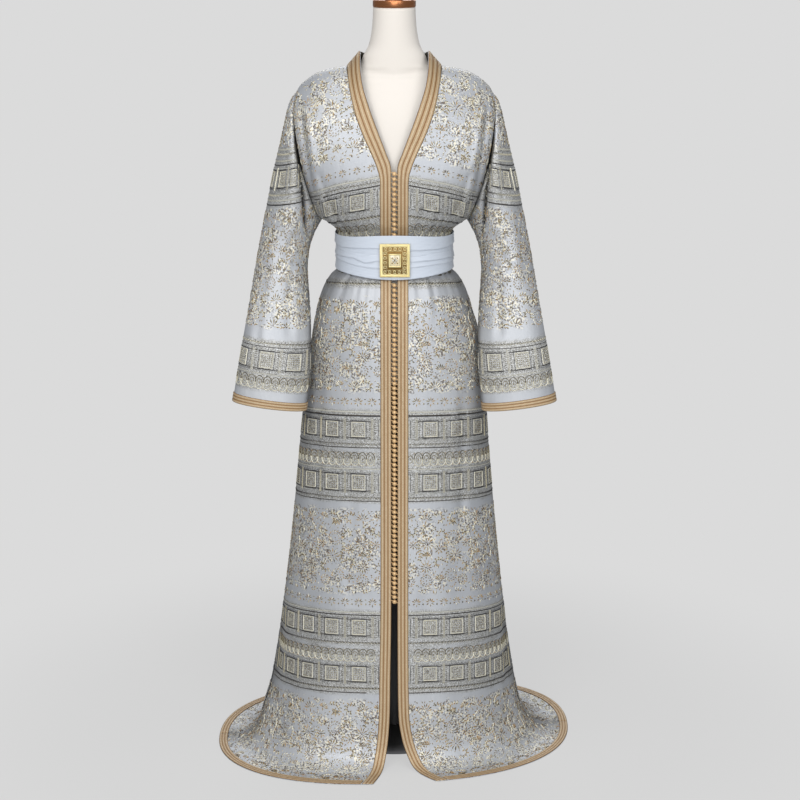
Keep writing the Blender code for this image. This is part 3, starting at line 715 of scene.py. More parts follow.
@dataclass(frozen=True)
class BodyCut:
    """The fronts and the back, from the hem up to the shoulders."""

    squareness: float = 2.3
    trim_width: float = 0.0225
    hem_skew: float = 0.09
    skew_top: float = 0.25
    armhole_rows: int = 10
    chest_row: int = 24
    shoulder_tip: tuple = (0.1985, 1.392)
    underarm: tuple = (0.1470, 1.135)
    armhole_bow: float = 0.018
    armhole_half_depth: float = 0.062
    shoulder_round: float = 2.1
    neck_point: tuple = (0.0955, 1.444)
    stand_top: tuple = (0.0690, 1.475)
    neck_back_depth: float = 0.070
    neck_back_rise: float = -0.004
    front_columns: int = 8
    neck_columns: int = 4
    back_side_columns: int = 5
    shoulder_line: tuple = ((0.0, 1.444), (0.0955, 1.444), (0.143, 1.436), (0.188, 1.408), (0.1985, 1.392))
    neck_edge: tuple = (
        (1.200, 0.0060), (1.250, 0.0060), (1.284, 0.0170), (1.329, 0.0345), (1.374, 0.0510),
        (1.417, 0.0640), (1.448, 0.0683), (1.475, 0.0690),
    )
    neck_trim_line: tuple = (
        (1.200, 0.0285), (1.230, 0.0290), (1.253, 0.0350), (1.278, 0.0450), (1.321, 0.0650),
        (1.366, 0.0810), (1.412, 0.0910), (1.444, 0.0955),
    )

    @property
    def underarm_row(self) -> int:
        """The row of the underarm."""
        return len(BODY.rows) - 1

    @property
    def top_row(self) -> int:
        """The row along the shoulder."""
        return self.underarm_row + self.armhole_rows

    @property
    def chest(self) -> float:
        """The height at which the rows begin to climb to the slope of the shoulder."""
        turn = math.pi * (1 - (self.chest_row - self.underarm_row) / self.armhole_rows)
        middle = (self.shoulder_tip[1] + self.underarm[1]) / 2
        return middle + (self.shoulder_tip[1] - self.underarm[1]) / 2 * math.cos(turn)

    def row_facts(self, side: Side, row: Array) -> tuple:
        """Give the sizes of the body at a row.

        Args:
            side: The side that is asked for.
            row: The row numbers.

        Returns:
            The height, half width, front and back depths, gape of the armhole, share of the climb
            to the shoulder, and the place of the front edge.
        """
        row = np.asarray(row, float)
        low = np.minimum(row, self.underarm_row)
        height = BODY.read("height", low)
        half = BODY.read(side.word + "_half", low)
        front = BODY.read("front", low)
        back = BODY.read("back", low)
        edge = BODY.read(side.word + "_edge", low)
        turn = math.pi * (1 - np.clip((row - self.underarm_row) / self.armhole_rows, 0, 1))
        above = row > self.underarm_row
        tip, under = self.shoulder_tip, self.underarm
        middle_x, reach_x = (tip[0] + under[0]) / 2, (tip[0] - under[0]) / 2
        middle_z, reach_z = (tip[1] + under[1]) / 2, (tip[1] - under[1]) / 2
        height = np.where(above, middle_z + reach_z * np.cos(turn), height)
        bowed = middle_x + reach_x * np.cos(turn) + self.armhole_bow * np.sin(turn)
        half = np.where(above, bowed, half)
        gape = np.where(above, self.armhole_half_depth * np.sin(turn), 0.0)
        front = np.where(above, CHEST.along("height", "front", height), front)
        back = np.where(above, CHEST.along("height", "back", height), back)
        climb = np.clip((height - self.chest) / (tip[1] - self.chest), 0, 1)
        lean = round_off(climb, self.shoulder_round)
        return height, half, front * lean, back * lean, gape, climb, edge

    def skewed(self, x: Array, y: Array, height: Array) -> Array:
        """Turn the hem a little on the floor, forward on the right and back on the left."""
        weight = np.clip(1 - height / self.skew_top, 0, 1) ** 2
        return y + self.hem_skew * weight * x

    def front(self, side: Side) -> Surface:
        """Give the surface of a front: column 0 is its edge, 1 the braid's line, 9 the side."""

        def surface(row: Array, col: Array) -> Array:
            """Give the points of the front at rows and columns."""
            height, half, front, _, gape, climb, edge = self.row_facts(side, row)
            chest = self.chest
            edge_z = chest + (self.stand_top[1] - chest) * climb
            line_z = chest + (self.neck_point[1] - chest) * climb
            edge_x = np.where(climb > 0, pairs_at(self.neck_edge, edge_z), edge)
            line_x = np.where(climb > 0, pairs_at(self.neck_trim_line, line_z), edge + self.trim_width)
            strip = np.clip(col, 0, 1)
            sweep = np.sin(np.clip(col - 1, 0, self.front_columns) / self.front_columns * math.pi / 2)
            x = np.where(col < 1, edge_x + (line_x - edge_x) * strip, line_x + (half - line_x) * sweep)
            shoulder = pairs_at(self.shoulder_line, x / half * self.shoulder_tip[0])
            climbed = chest + (shoulder - chest) * climb
            climbed = np.where(col < 1, edge_z + (line_z - edge_z) * strip, climbed)
            z = np.where(climb > 0, climbed, height)
            depth = gape + (front - gape) * round_off(x / half, self.squareness)
            fold = sum(
                f.push(x / half, height) for f in FOLDS if f.panel == "front" and f.side == side
            )
            grow = 1 + fold / np.maximum(half, 0.1)
            x = side.value * x * grow
            return np.stack([x, self.skewed(x, -depth * grow, height), z], axis=-1)

        return surface

    def back(self, row: Array, col: Array) -> Array:
        """Give the points of the back: column 0 is its centre, -9 the right side and 9 the left."""
        row, col = np.broadcast_arrays(np.asarray(row, float), np.asarray(col, float))
        out = np.zeros(row.shape + (3,))
        neck_part = self.neck_point[0] / self.shoulder_tip[0]
        neck_turn = math.asin(neck_part)
        for side in Side:
            height, half, _, back, gape, climb, _ = self.row_facts(side, row)
            place = np.abs(col)
            neck = neck_part * np.sin(np.clip(place / self.neck_columns, 0, 1) * math.pi / 2)
            sweep = np.clip((place - self.neck_columns) / self.back_side_columns, 0, 1)
            beyond = np.sin(neck_turn + (math.pi / 2 - neck_turn) * sweep)
            part = np.where(place <= self.neck_columns, neck, beyond)
            reach = neck_part + (1 - neck_part) * round_off(climb, 2)
            dip = round_off(np.clip(part / reach, 0, 1), 2)
            top = pairs_at(self.shoulder_line, part * self.shoulder_tip[0]) + self.neck_back_rise * dip**2
            z = np.where(climb > 0, self.chest + (top - self.chest) * climb, height)
            shoulder = gape + (back - gape) * round_off(part, self.squareness)
            y = np.hypot(shoulder, self.neck_back_depth * dip * climb**2)
            fold = sum(f.push(part, height) for f in FOLDS if f.panel == "back" and f.side == side)
            grow = 1 + fold / np.maximum(half, 0.1)
            x = side.value * half * part * grow
            point = np.stack([x, self.skewed(x, y * grow, height), z], axis=-1)
            out = np.where((col * side.value >= 0)[..., None], point, out)
        return out


@dataclass(frozen=True)
class SleeveCut:
    """A sleeve, from the armhole to the cuff. A column is the turn from its upper edge."""

    squareness: float = 2.2
    cuff_row: float = 8.0
    braid_row: float = 7.82

    def surface(self, side: Side) -> Surface:
        """Give the surface of a sleeve, whose columns turn round the front in degrees."""

        def points(row: Array, degrees: Array) -> Array:
            """Give the points of the sleeve at rows and turns."""
            turn = np.radians(degrees)
            read = {name: SLEEVE.read(name, row) for name in SLEEVE.names}
            across, round_part = np.cos(turn), np.sin(turn)
            square = np.clip(np.asarray(row, float) / 3, 0, 1)
            power = 2 / (2 + (self.squareness - 2) * square)
            bulge = np.sign(round_part) * np.abs(round_part) ** power
            middle_x = (read["outer_x"] + read["inner_x"]) / 2
            half_x = (read["outer_x"] - read["inner_x"]) / 2
            x = middle_x + half_x * across + read["bow"] * np.abs(round_part)
            middle_z = (read["outer_z"] + read["inner_z"]) / 2
            z = middle_z + (read["outer_z"] - read["inner_z"]) / 2 * across
            y = -read["forward"] - read["half_depth"] * bulge
            return np.stack(np.broadcast_arrays(side.value * x, y, z), axis=-1)

        return points


# ---------------------------------------------------------------------------------------------
# Creases, gathers and the panels that carry them
# ---------------------------------------------------------------------------------------------


@dataclass(frozen=True)
class Crease:
    """A soft trough or ridge along a path of distances from the middle and heights."""

    path: tuple
    width: float
    out: float
    side: Side | None = None
    rear: bool = False

    def near(self, points: Array, side: Side) -> Array:
        """Tell how close points are to the crease, from 0 far away to 1 on its line."""
        place = np.stack([points[..., 0] * side.value, points[..., 2]], axis=-1)
        knots = np.array(self.path, float)
        total = np.linalg.norm(np.diff(knots, axis=0), axis=1).sum()
        best = np.full(place.shape[:-1], np.inf)
        reach = np.zeros_like(best)
        passed = 0.0
        for start, end in zip(knots[:-1], knots[1:]):
            way = end - start
            share = np.clip(((place - start) @ way) / (way @ way), 0, 1)
            gap = np.linalg.norm(place - start - share[..., None] * way, axis=-1)
            reach = np.where(gap < best, (passed + share * np.linalg.norm(way)) / total, reach)
            best = np.minimum(best, gap)
            passed += np.linalg.norm(way)
        fade = ease(reach / 0.22) * ease((1 - reach) / 0.22)
        return np.exp(-((best / self.width) ** 2)) * fade

    def push(self, points: Array, side: Side, ahead: Array) -> Array:
        """Tell how far the crease moves the cloth out.

        Args:
            points: The points of the cloth.
            side: The side that the panel belongs to.
            ahead: How much each point faces the front, from -1 to 1.

        Returns:
            The way out at each point.
        """
        if self.side not in (None, side):
            return np.zeros(points.shape[:-1])
        facing = ease(0.5 + (-3 if self.rear else 3) * ahead)
        return self.out * facing * self.near(points, side)


BODY_CREASES = (
    Crease(((0.190, 1.390), (0.186, 1.330), (0.174, 1.240), (0.161, 1.156)), 0.0075, -0.0050),
    Crease(((0.176, 1.385), (0.170, 1.310), (0.154, 1.225), (0.134, 1.150)), 0.0090, 0.0028),
    Crease(((0.160, 1.260), (0.138, 1.190), (0.110, 1.130)), 0.0070, -0.0030),
    Crease(((0.120, 1.180), (0.100, 1.150), (0.088, 1.118)), 0.0050, -0.0022, Side.RIGHT),
    Crease(((0.112, 1.170), (0.098, 1.140), (0.092, 1.116)), 0.0050, -0.0022, Side.LEFT),
    Crease(((0.142, 0.820), (0.143, 0.640), (0.138, 0.480)), 0.0100, -0.0030, Side.LEFT),
    Crease(((0.120, 0.800), (0.124, 0.620), (0.128, 0.420)), 0.0120, 0.0022, Side.LEFT),
    Crease(((0.150, 0.870), (0.160, 0.700), (0.168, 0.520)), 0.0110, -0.0030, Side.RIGHT),
    Crease(((0.085, 0.700), (0.090, 0.520), (0.098, 0.330)), 0.0140, -0.0018, Side.RIGHT),
    Crease(((0.240, 0.300), (0.255, 0.160), (0.262, 0.060)), 0.0110, -0.0050, Side.RIGHT),
    Crease(((0.236, 0.300), (0.246, 0.180), (0.250, 0.070)), 0.0100, -0.0060, Side.LEFT),
    Crease(((0.216, 0.240), (0.224, 0.140), (0.232, 0.050)), 0.0120, 0.0035, Side.LEFT),
    Crease(((0.060, 0.420), (0.066, 0.240), (0.080, 0.100)), 0.0160, -0.0018, Side.LEFT),
    Crease(((0.170, 1.360), (0.150, 1.260), (0.120, 1.160)), 0.0110, -0.0040, rear=True),
    Crease(((0.040, 1.330), (0.036, 1.240), (0.030, 1.140)), 0.0140, -0.0024, Side.LEFT, True),
    Crease(((0.080, 0.980), (0.090, 0.820), (0.100, 0.600)), 0.0120, -0.0036, Side.RIGHT, True),
    Crease(((0.060, 0.960), (0.070, 0.780), (0.072, 0.520)), 0.0130, -0.0034, Side.LEFT, True),
    Crease(((0.150, 0.860), (0.170, 0.600), (0.200, 0.300)), 0.0150, -0.0036, rear=True),
)
SLEEVE_CREASES = (
    Crease(((0.2014, 1.392), (0.1957, 1.290), (0.1853, 1.211), (0.1819, 1.169), (0.176, 1.080)), 0.0046, -0.0090),
    Crease(((0.214, 1.340), (0.208, 1.260), (0.200, 1.160)), 0.0090, 0.0020),
    Crease(((0.236, 1.250), (0.246, 1.120), (0.252, 0.980)), 0.0120, 0.0020, Side.LEFT),
    Crease(((0.206, 1.080), (0.214, 0.980), (0.214, 0.880)), 0.0110, -0.0028),
    Crease(((0.262, 1.060), (0.276, 0.960), (0.286, 0.860)), 0.0110, -0.0020, Side.RIGHT),
    Crease(((0.196, 1.120), (0.222, 1.060), (0.244, 1.020)), 0.0090, -0.0024),
    Crease(((0.200, 1.350), (0.192, 1.240), (0.184, 1.150)), 0.0080, -0.0050, rear=True),
    Crease(((0.236, 1.200), (0.244, 1.060), (0.246, 0.920)), 0.0120, -0.0032, rear=True),
    Crease(((0.190, 1.080), (0.226, 1.030), (0.250, 1.010)), 0.0100, -0.0028, rear=True),
)
CREVICE = SLEEVE_CREASES[0]


@dataclass(frozen=True)
class Gathers:
    """The small uneven gathers that the belt draws up below and above itself."""

    below: tuple = (0.930, 1.000, 1.024, 1.034)
    above: tuple = (1.104, 1.114, 1.136, 1.200)
    out: float = 0.0015
    waves: tuple = ((23, 0.7, 0.5), (31, 2.1, 0.35), (47, 4.0, 0.25), (14, 5.2, 0.4))

    def push(self, points: Array) -> Array:
        """Tell how far the gathers move the cloth out."""
        turn = np.arctan2(points[..., 0], -points[..., 1])
        height = points[..., 2]
        window = np.zeros_like(height)
        for low, rise, fall, high in (self.below, self.above):
            window += ease((height - low) / (rise - low)) * ease((high - height) / (high - fall))
        wave = sum(share * np.sin(count * turn + start) for count, start, share in self.waves)
        off_edge = ease((np.abs(points[..., 0]) - 0.026) / 0.02)
        return self.out * wave * window * off_edge


class Panel:
    """One cut piece of brocade: a grid of points with its creases, and its woven coordinates."""

    STEP = 0.0060

    def __init__(self, name: str, surface: Surface, rows: Array, cols: Array) -> None:
        """Lay out the grid.

        Args:
            name: The node that the panel stands for.
            surface: The smooth form, by row and column.
            rows: The row numbers, in the order of the grid.
            cols: The column numbers, in the order of the grid.
        """
        self.name = name
        self.rows, self.cols = rows, cols
        row, col = np.meshgrid(rows, cols, indexing="ij")
        self.row, self.col = row, col
        self.base = surface(row, col)
        self.out = grid_normals(self.base)
        self.points = self.base
        self.normals = self.out
        self.u = self.level = self.base[..., 0]
        # The share of painted shade at each point, none until a panel sets it.
        self.dark = np.zeros(row.shape)

    @staticmethod
    def even(surface: Surface, ends: tuple[float, float], across: float, of_rows: bool, step: float) -> Array:
        """Space rows or columns evenly along the cloth.

        Args:
            surface: The smooth form.
            ends: The first and last number.
            across: The column, or row, along which the cloth is measured.
            of_rows: Whether rows are spaced, and not columns.
            step: The length of a step along the cloth.

        Returns:
            The numbers, an odd count of them.
        """
        fine = np.linspace(*ends, 1500)
        held = np.full_like(fine, across)
        line = surface(fine, held) if of_rows else surface(held, fine)
        length = np.concatenate([[0], np.cumsum(np.linalg.norm(np.diff(line, axis=0), axis=1))])
        count = 2 * int(round(length[-1] / step / 2)) + 1
        return np.interp(np.linspace(0, length[-1], count), length, fine)

    def crease(self, push: Array) -> None:
        """Move the cloth along its normals."""
        self.points = self.base + self.out * push[..., None]
        self.points[..., 2] = np.maximum(self.points[..., 2], CLOTH + FLOOR_CLEAR)
        self.normals = grid_normals(self.points)

    def measure(self, start: Array, outward: int) -> Array:
        """Give the length along each row from a start.

        Args:
            start: The length at each row's first column.
            outward: 1 where it grows along the grid's columns and -1 where it falls.

        Returns:
            The length at every point.
        """
        steps = np.linalg.norm(np.diff(self.base, axis=1), axis=-1)
        length = np.concatenate([np.zeros((len(self.rows), 1)), np.cumsum(steps, axis=1)], axis=1)
        return start[:, None] + outward * length

    def sampled(self, grid: Array, i: Array, j: Array) -> Array:
        """Read a grid of values between its points."""
        low_i = np.clip(i.astype(int), 0, grid.shape[0] - 2)
        low_j = np.clip(j.astype(int), 0, grid.shape[1] - 2)
        part_i, part_j = i - low_i, j - low_j
        if grid.ndim == 3:
            part_i, part_j = part_i[:, None], part_j[:, None]
        low = grid[low_i, low_j] * (1 - part_j) + grid[low_i, low_j + 1] * part_j
        high = grid[low_i + 1, low_j] * (1 - part_j) + grid[low_i + 1, low_j + 1] * part_j
        return low * (1 - part_i) + high * part_i

    def at(self, row: Array, col: Array) -> tuple[Array, Array]:
        """Give the points and normals of the dressed cloth at a mesh of rows and columns."""
        def index(numbers: Array, wanted: Array) -> Array:
            """Turn row or column numbers into places in the grid."""
            order = np.argsort(numbers)
            return np.interp(wanted, numbers[order], order.astype(float))

        i, j = np.meshgrid(index(self.rows, row), index(self.cols, col), indexing="ij")
        shape = i.shape + (3,)
        flat_i, flat_j = i.ravel(), j.ravel()
        points = self.sampled(self.points, flat_i, flat_j).reshape(shape)
        return points, unit(self.sampled(self.normals, flat_i, flat_j)).reshape(shape)

    def locate(self, u: Array, level: Array) -> tuple[Array, Array, Array]:
        """Find places in the cloth from their woven coordinates.

        Args:
            u: The lengths across.
            level: The levels.

        Returns:
            The places in the grid by row and by column, and whether each was found.
        """
        rows, cols = self.u.shape
        middle = cols // 2
        order = np.argsort(self.level[:, middle])
        i = np.interp(level, self.level[order, middle], order.astype(float))
        gradients = [np.gradient(grid, axis=axis) for grid in (self.u, self.level) for axis in (0, 1)]
        j = np.full_like(i, middle)
        for _ in range(14):
            gap_u = u - self.sampled(self.u, i, j)
            gap_l = level - self.sampled(self.level, i, j)
            u_i, u_j, l_i, l_j = (self.sampled(grid, i, j) for grid in gradients)
            size = u_i * l_j - u_j * l_i
            size = np.where(np.abs(size) < 1e-12, 1e-12, size)
            step_i = (gap_u * l_j - gap_l * u_j) / size
            step_j = (u_i * gap_l - l_i * gap_u) / size
            i = np.clip(i + np.clip(step_i, -30, 30), 0, rows - 1.001)
            j = np.clip(j + np.clip(step_j, -30, 30), 0, cols - 1.001)
        gap = np.hypot(u - self.sampled(self.u, i, j), level - self.sampled(self.level, i, j))
        return i, j, gap < 0.0006

    @property
    def mirrored(self) -> bool:
        """Whether the woven coordinates run the other way round than the grid."""
        i, j = (size // 2 for size in self.u.shape)
        u_i, u_j = self.u[i + 1, j] - self.u[i, j], self.u[i, j + 1] - self.u[i, j]
        l_i, l_j = self.level[i + 1, j] - self.level[i, j], self.level[i, j + 1] - self.level[i, j]
        return u_j * l_i - u_i * l_j < 0

    def flat_size(self) -> tuple[float, float, float]:
        """Measure the flat cloth: its greatest width and length, and its area."""
        across = np.linalg.norm(np.diff(self.base, axis=1), axis=-1).sum(axis=1)
        along = np.linalg.norm(np.diff(self.base, axis=0), axis=-1).sum(axis=0)
        one, other = self.base[1:, :-1] - self.base[:-1, :-1], self.base[:-1, 1:] - self.base[:-1, :-1]
        area = np.linalg.norm(np.cross(one, other), axis=-1).sum()
        return float(across.max()), float(along.max()), float(area)

    def shell(self, satin: object, reverse: object, weave_and_shade: Array, ring: bool = False) -> bpy.types.Object:
        """Build the closed thin wall: a fine outer grid, a coarser inner one and rims between.

        Args:
            satin: The face's material.
            reverse: The wrong side's material.
            weave_and_shade: The weave values at each point of the outer grid, painted shade among them.
            ring: Whether the last column is the first one again.

        Returns:
            The object.
        """
        outer, normals = self.points, self.normals
        if ring:
            outer, normals, weave_and_shade = outer[:, :-1], normals[:, :-1], weave_and_shade[:, :-1]
        inner = outer[::2, ::2] - normals[::2, ::2] * CLOTH
        inner[..., 2] = np.maximum(inner[..., 2], FLOOR_CLEAR)
        rows, cols = outer.shape[:2]
        low_rows, low_cols = inner.shape[:2]
        number = np.arange(rows * cols).reshape(rows, cols)
        under = rows * cols + np.arange(low_rows * low_cols).reshape(low_rows, low_cols)
        if ring:
            number = np.concatenate([number, number[:, :1]], axis=1)
            under = np.concatenate([under, under[:, :1]], axis=1)
        inside = grid_faces(low_rows, low_cols, rows * cols, ring)[:, ::-1]
        rims = [self.rim(number[0], under[0]), self.rim(number[-1], under[-1])[:, ::-1]]
        if not ring:
            rims += [self.rim(number[:, 0], under[:, 0])[:, ::-1], self.rim(number[:, -1], under[:, -1])]
        faces = [grid_faces(rows, cols, 0, ring), inside, np.concatenate(rims)]
        slots = np.concatenate([np.full(len(group), slot) for slot, group in zip((0, 1, 0), faces)])
        points = np.concatenate([outer.reshape(-1, 3), inner.reshape(-1, 3)])
        values = np.concatenate([weave_and_shade.reshape(-1, 4), np.zeros((inner.size // 3, 4))])
        obj = add_mesh(f"{self.name}_cloth", points, faces, [satin, reverse], slots, point_colours=values)
        return settle(obj, "brocade", self.name)

    @staticmethod
    def rim(line: Array, under: Array) -> Array:
        """Join a line of points to a line of half as many under it."""
        return np.stack([under[:-1], under[1:], line[2::2], line[1::2], line[:-2:2]], axis=1)


# ---------------------------------------------------------------------------------------------
# The figures of the brocade
# ---------------------------------------------------------------------------------------------


@dataclass
class Figures:
    """Leaves and runs of thread, gathered in woven coordinates before they are laid on a panel."""

    leaves: list = field(default_factory=list)
    runs: list = field(default_factory=list)

    def leaf(
        self, u: float, l: float, angle: float, length: float, width: float, one: Thread, two: Thread
    ) -> None:
        """Add one leaf of two colours, pointing along an angle."""
        self.leaves.append((u, l, angle, length, width, THREADS.index(one), THREADS.index(two)))

    def run(self, points: Array, width: float, one: Thread, two: Thread) -> None:
        """Add a run of thread along points, whose two slopes have their own colours."""
        self.runs.append((np.asarray(points, float), width, THREADS.index(one), THREADS.index(two)))

    def placed(self, spots: Array, inside: Callable[[Array, Array], Array]) -> Figures:
        """Copy the figures to many places.

        Args:
            spots: Rows of u, l and 1 or -1 for mirrored ones.
            inside: Tells which places in the cloth may be used.

        Returns:
            The copies that lie inside.
        """
        out = Figures()
        for at_u, at_l, way in spots:
            for u, l, angle, *rest in self.leaves:
                turned = angle if way > 0 else math.pi - angle
                out.leaves.append((at_u + way * u, at_l + l, turned, *rest))
            for points, *rest in self.runs:
                out.runs.append((points * (way, 1) + (at_u, at_l), *rest))
        if out.leaves:
            table = np.array([leaf[:2] for leaf in out.leaves])
            keep = inside(table[:, 0], table[:, 1])
            out.leaves = [leaf for leaf, kept in zip(out.leaves, keep) if kept]
        out.runs = [run for run in out.runs if inside(run[0][:, 0], run[0][:, 1]).all()]
        return out

    def halves(self) -> dict[str, Figures]:
        """Part the figures into those of the right half and those of the left."""
        out = {}
        for side in Side:
            leaves = [leaf for leaf in self.leaves if (leaf[0] > 0) == (side is Side.LEFT)]
            runs = [run for run in self.runs if (run[0][0, 0] > 0) == (side is Side.LEFT)]
            out[f"figures_{side.word}"] = Figures(leaves, runs)
        return out

    def join(self, other: Figures) -> None:
        """Take in other figures."""
        self.leaves += other.leaves
        self.runs += other.runs


class Motif:
    """The kinds of figure that the brocade's design is drawn with, each round its own middle."""

    # Pale threads for one half of a leaf and deep ones for the other: thread colours that also serve as a painted
    # highlight and a painted shadow.
    LIT_HALF_THREADS = (Thread.CREAM, Thread.CREAM, Thread.CREAM, Thread.BEIGE)
    SHADED_HALF_THREADS = (Thread.DARK, Thread.OLIVE, Thread.GOLD, Thread.BROWN, Thread.GOLD, Thread.BROWN)

    def __init__(self, seed: int) -> None:
        """Start with no figures and a fixed seed for their small unevenness."""
        self.figures = Figures()
        self.chance = np.random.default_rng(seed)

    def stroke(self, u: float, l: float, angle: float, length: float = 0.0062, width: float = 0.0030) -> None:
        """Add one loose leaf: a pale thread on one side as a painted highlight, a deep one on the other as a painted
        shadow.
        """
        light = self.LIT_HALF_THREADS[self.chance.integers(len(self.LIT_HALF_THREADS))]
        deep = self.SHADED_HALF_THREADS[self.chance.integers(len(self.SHADED_HALF_THREADS))]
        length *= 1.20 + 0.3 * self.chance.random()
        angle += 0.3 * (self.chance.random() - 0.5)
        width *= 1.30 + 0.3 * self.chance.random()
        # Swapped for leaves that point left, so that the pale half, a painted highlight, keeps to the same side
        # whichever way a leaf points.
        pair = (light, deep) if math.cos(angle) > 0 else (deep, light)
        self.figures.leaf(u, l, angle, length, width, *pair)

    def ring_of(
        self, u: float, l: float, radius: float, count: int, lean: float, length: float, **sizes: float
    ) -> None:
        """Add strokes round a circle, each turned from the radius by a lean."""
        start = self.chance.random()
        for step in range(count):
            turn = FULL_TURN * (step + start) / count
            place = u + radius * math.cos(turn), l + radius * math.sin(turn)
            self.stroke(*place, turn + lean, length, **sizes)

    def daisy(self, u: float, l: float, radius: float) -> None:
        """Add a flower of pointed petals round a dark heart."""
        petals = 8 + int(radius > 0.011) * 3
        self.ring_of(u, l, radius * 0.66, petals, 0.0, radius * 0.62, width=0.0026)
        self.figures.leaf(u, l, 0.6, 0.0042, 0.0034, Thread.BROWN, Thread.DARK)
        self.ring_of(u, l, radius * 0.27, 4, 0.5, 0.0030, width=0.0020)
        if radius > 0.011:
            self.ring_of(u, l, radius * 1.12, 12, math.pi / 2, 0.0028, width=0.0018)

    def wreath(self, u: float, l: float, radius: float) -> None:
        """Add an open ring of leaning leaves with a small heart."""
        self.ring_of(u, l, radius, int(radius * 1150), 0.9, 0.0058, width=0.0024)
        self.ring_of(u, l, radius * 0.62, int(radius * 700), -1.0, 0.0040, width=0.0020)
        self.figures.leaf(u, l, 1.2, 0.0036, 0.0030, Thread.GOLD, Thread.OLIVE)

    def palmette(self, u: float, l: float, angle: float, size: float) -> None:
        """Add a fan of leaves on a short stem."""
        for step in range(7):
            turn = angle + (step - 3) * 0.42
            reach = size * (0.66 - 0.03 * abs(step - 3))
            place = u + reach * math.cos(turn), l + reach * math.sin(turn)
            self.stroke(*place, turn, size * 0.52, 0.0026)
        for step in range(4):
            turn = angle + (step - 1.5) * 0.7
            self.stroke(u + size * 0.28 * math.cos(turn), l + size * 0.28 * math.sin(turn), turn, 0.0038, 0.0022)
        self.stroke(u - size * 0.2 * math.cos(angle), l - size * 0.2 * math.sin(angle), angle, size * 0.5, 0.0024)

    def vine(self, knots: Sequence[tuple[float, float]], step: float = 0.0064, leaf: float = 0.0052) -> None:
        """Add a curved stem with leaves in pairs along it.

        Args:
            knots: The points that the stem runs through.
            step: The distance between pairs.
            leaf: The length of a leaf.
        """
        knots = np.array(knots, float)
        share = np.linspace(0, len(knots) - 1, 80)
        places = np.arange(len(knots))
        line = np.stack([self.curved(places, knots[:, k], share) for k in (0, 1)], axis=1)
        length = np.concatenate([[0], np.cumsum(np.linalg.norm(np.diff(line, axis=0), axis=1))])
        count = max(int(length[-1] / step), 2)
        marks = np.linspace(0, length[-1], count * 2 + 1)
        stem = np.stack([np.interp(marks, length, line[:, k]) for k in (0, 1)], axis=1)
        # The stem's pale and deep slopes: thread colour that also stands for a painted highlight beside a painted
        # shadow.
        self.figures.run(stem, 0.0013, Thread.CREAM, Thread.OLIVE)
        for k in range(1, len(stem) - 1, 2):
            way = stem[k + 1] - stem[k - 1]
            turn = math.atan2(way[1], way[0])
            for lean in (0.85, -0.85):
                out = 0.0031
                spot = stem[k] + out * np.array([math.cos(turn + lean), math.sin(turn + lean)])
                self.stroke(*spot, turn + lean, leaf)

    @staticmethod
    def curved(places: Array, values: Array, at: Array) -> Array:
        """Read a round curve through values: straight pieces, softened by averaging."""
        straight = np.interp(at, places, values)
        for _ in range(3):
            inner = (straight[:-10] + straight[5:-5] + straight[10:]) / 3
            straight = np.concatenate([straight[:5], inner, straight[-5:]])
        return straight

    def scroll(self, u: float, l: float, radius: float, start: float, way: int) -> None:
        """Add a stem that curls in on itself, with leaves on it."""
        turns = start + way * np.linspace(0, 1.45 * math.pi, 9)
        reach = radius * np.linspace(1.0, 0.42, 9)
        self.vine(np.stack([u + reach * np.cos(turns), l + reach * np.sin(turns)], axis=1), 0.0058, 0.0048)

    def sprig(self, u: float, l: float, size: float) -> None:
        """Add a small upright sprig with a dot on each side."""
        for turn in (0.35, 0.95, math.pi / 2, math.pi - 0.95, math.pi - 0.35):
            self.stroke(u + size * 0.55 * math.cos(turn), l + size * 0.55 * math.sin(turn), turn, size * 0.62, 0.0025)
        for turn in (-0.5, -math.pi / 2, math.pi + 0.5):
            self.stroke(u + size * 0.5 * math.cos(turn), l + size * 0.5 * math.sin(turn), turn, size * 0.46, 0.0024)

    def scatter(self, width: float, height: float, spacing: float, clear: float) -> None:
        """Fill what is still empty with loose leaves.

        Args:
            width: The width of the field, from u 0.
            height: The height of the field, from l 0 down.
            spacing: The distance between leaves.
            clear: How far a new leaf keeps from the others.
        """
        taken = np.array([leaf[:2] for leaf in self.figures.leaves])
        for u in np.arange(spacing / 2, width, spacing):
            for l in np.arange(-spacing / 2, -height, -spacing):
                spot = np.array([u, l]) + (self.chance.random(2) - 0.5) * spacing * 0.8
                if np.hypot(*(taken - spot).T).min() > clear:
                    self.stroke(*spot, self.chance.random() * FULL_TURN, 0.0044, 0.0022)


class Zone(Enum):
    """A kind of level zone in the brocade's design."""

    FLORAL = "floral"
    SPRIGS = "sprigs"
    SQUARES = "squares"
    RINGS = "rings"
    ROPE = "rope"
    LINE = "line"
    BAR = "bar"


BANDS = (Zone.SQUARES, Zone.RINGS, Zone.ROPE, Zone.LINE, Zone.BAR)


@dataclass(frozen=True)
class Level:
    """One zone, between two levels."""

    zone: Zone
    low: float
    high: float


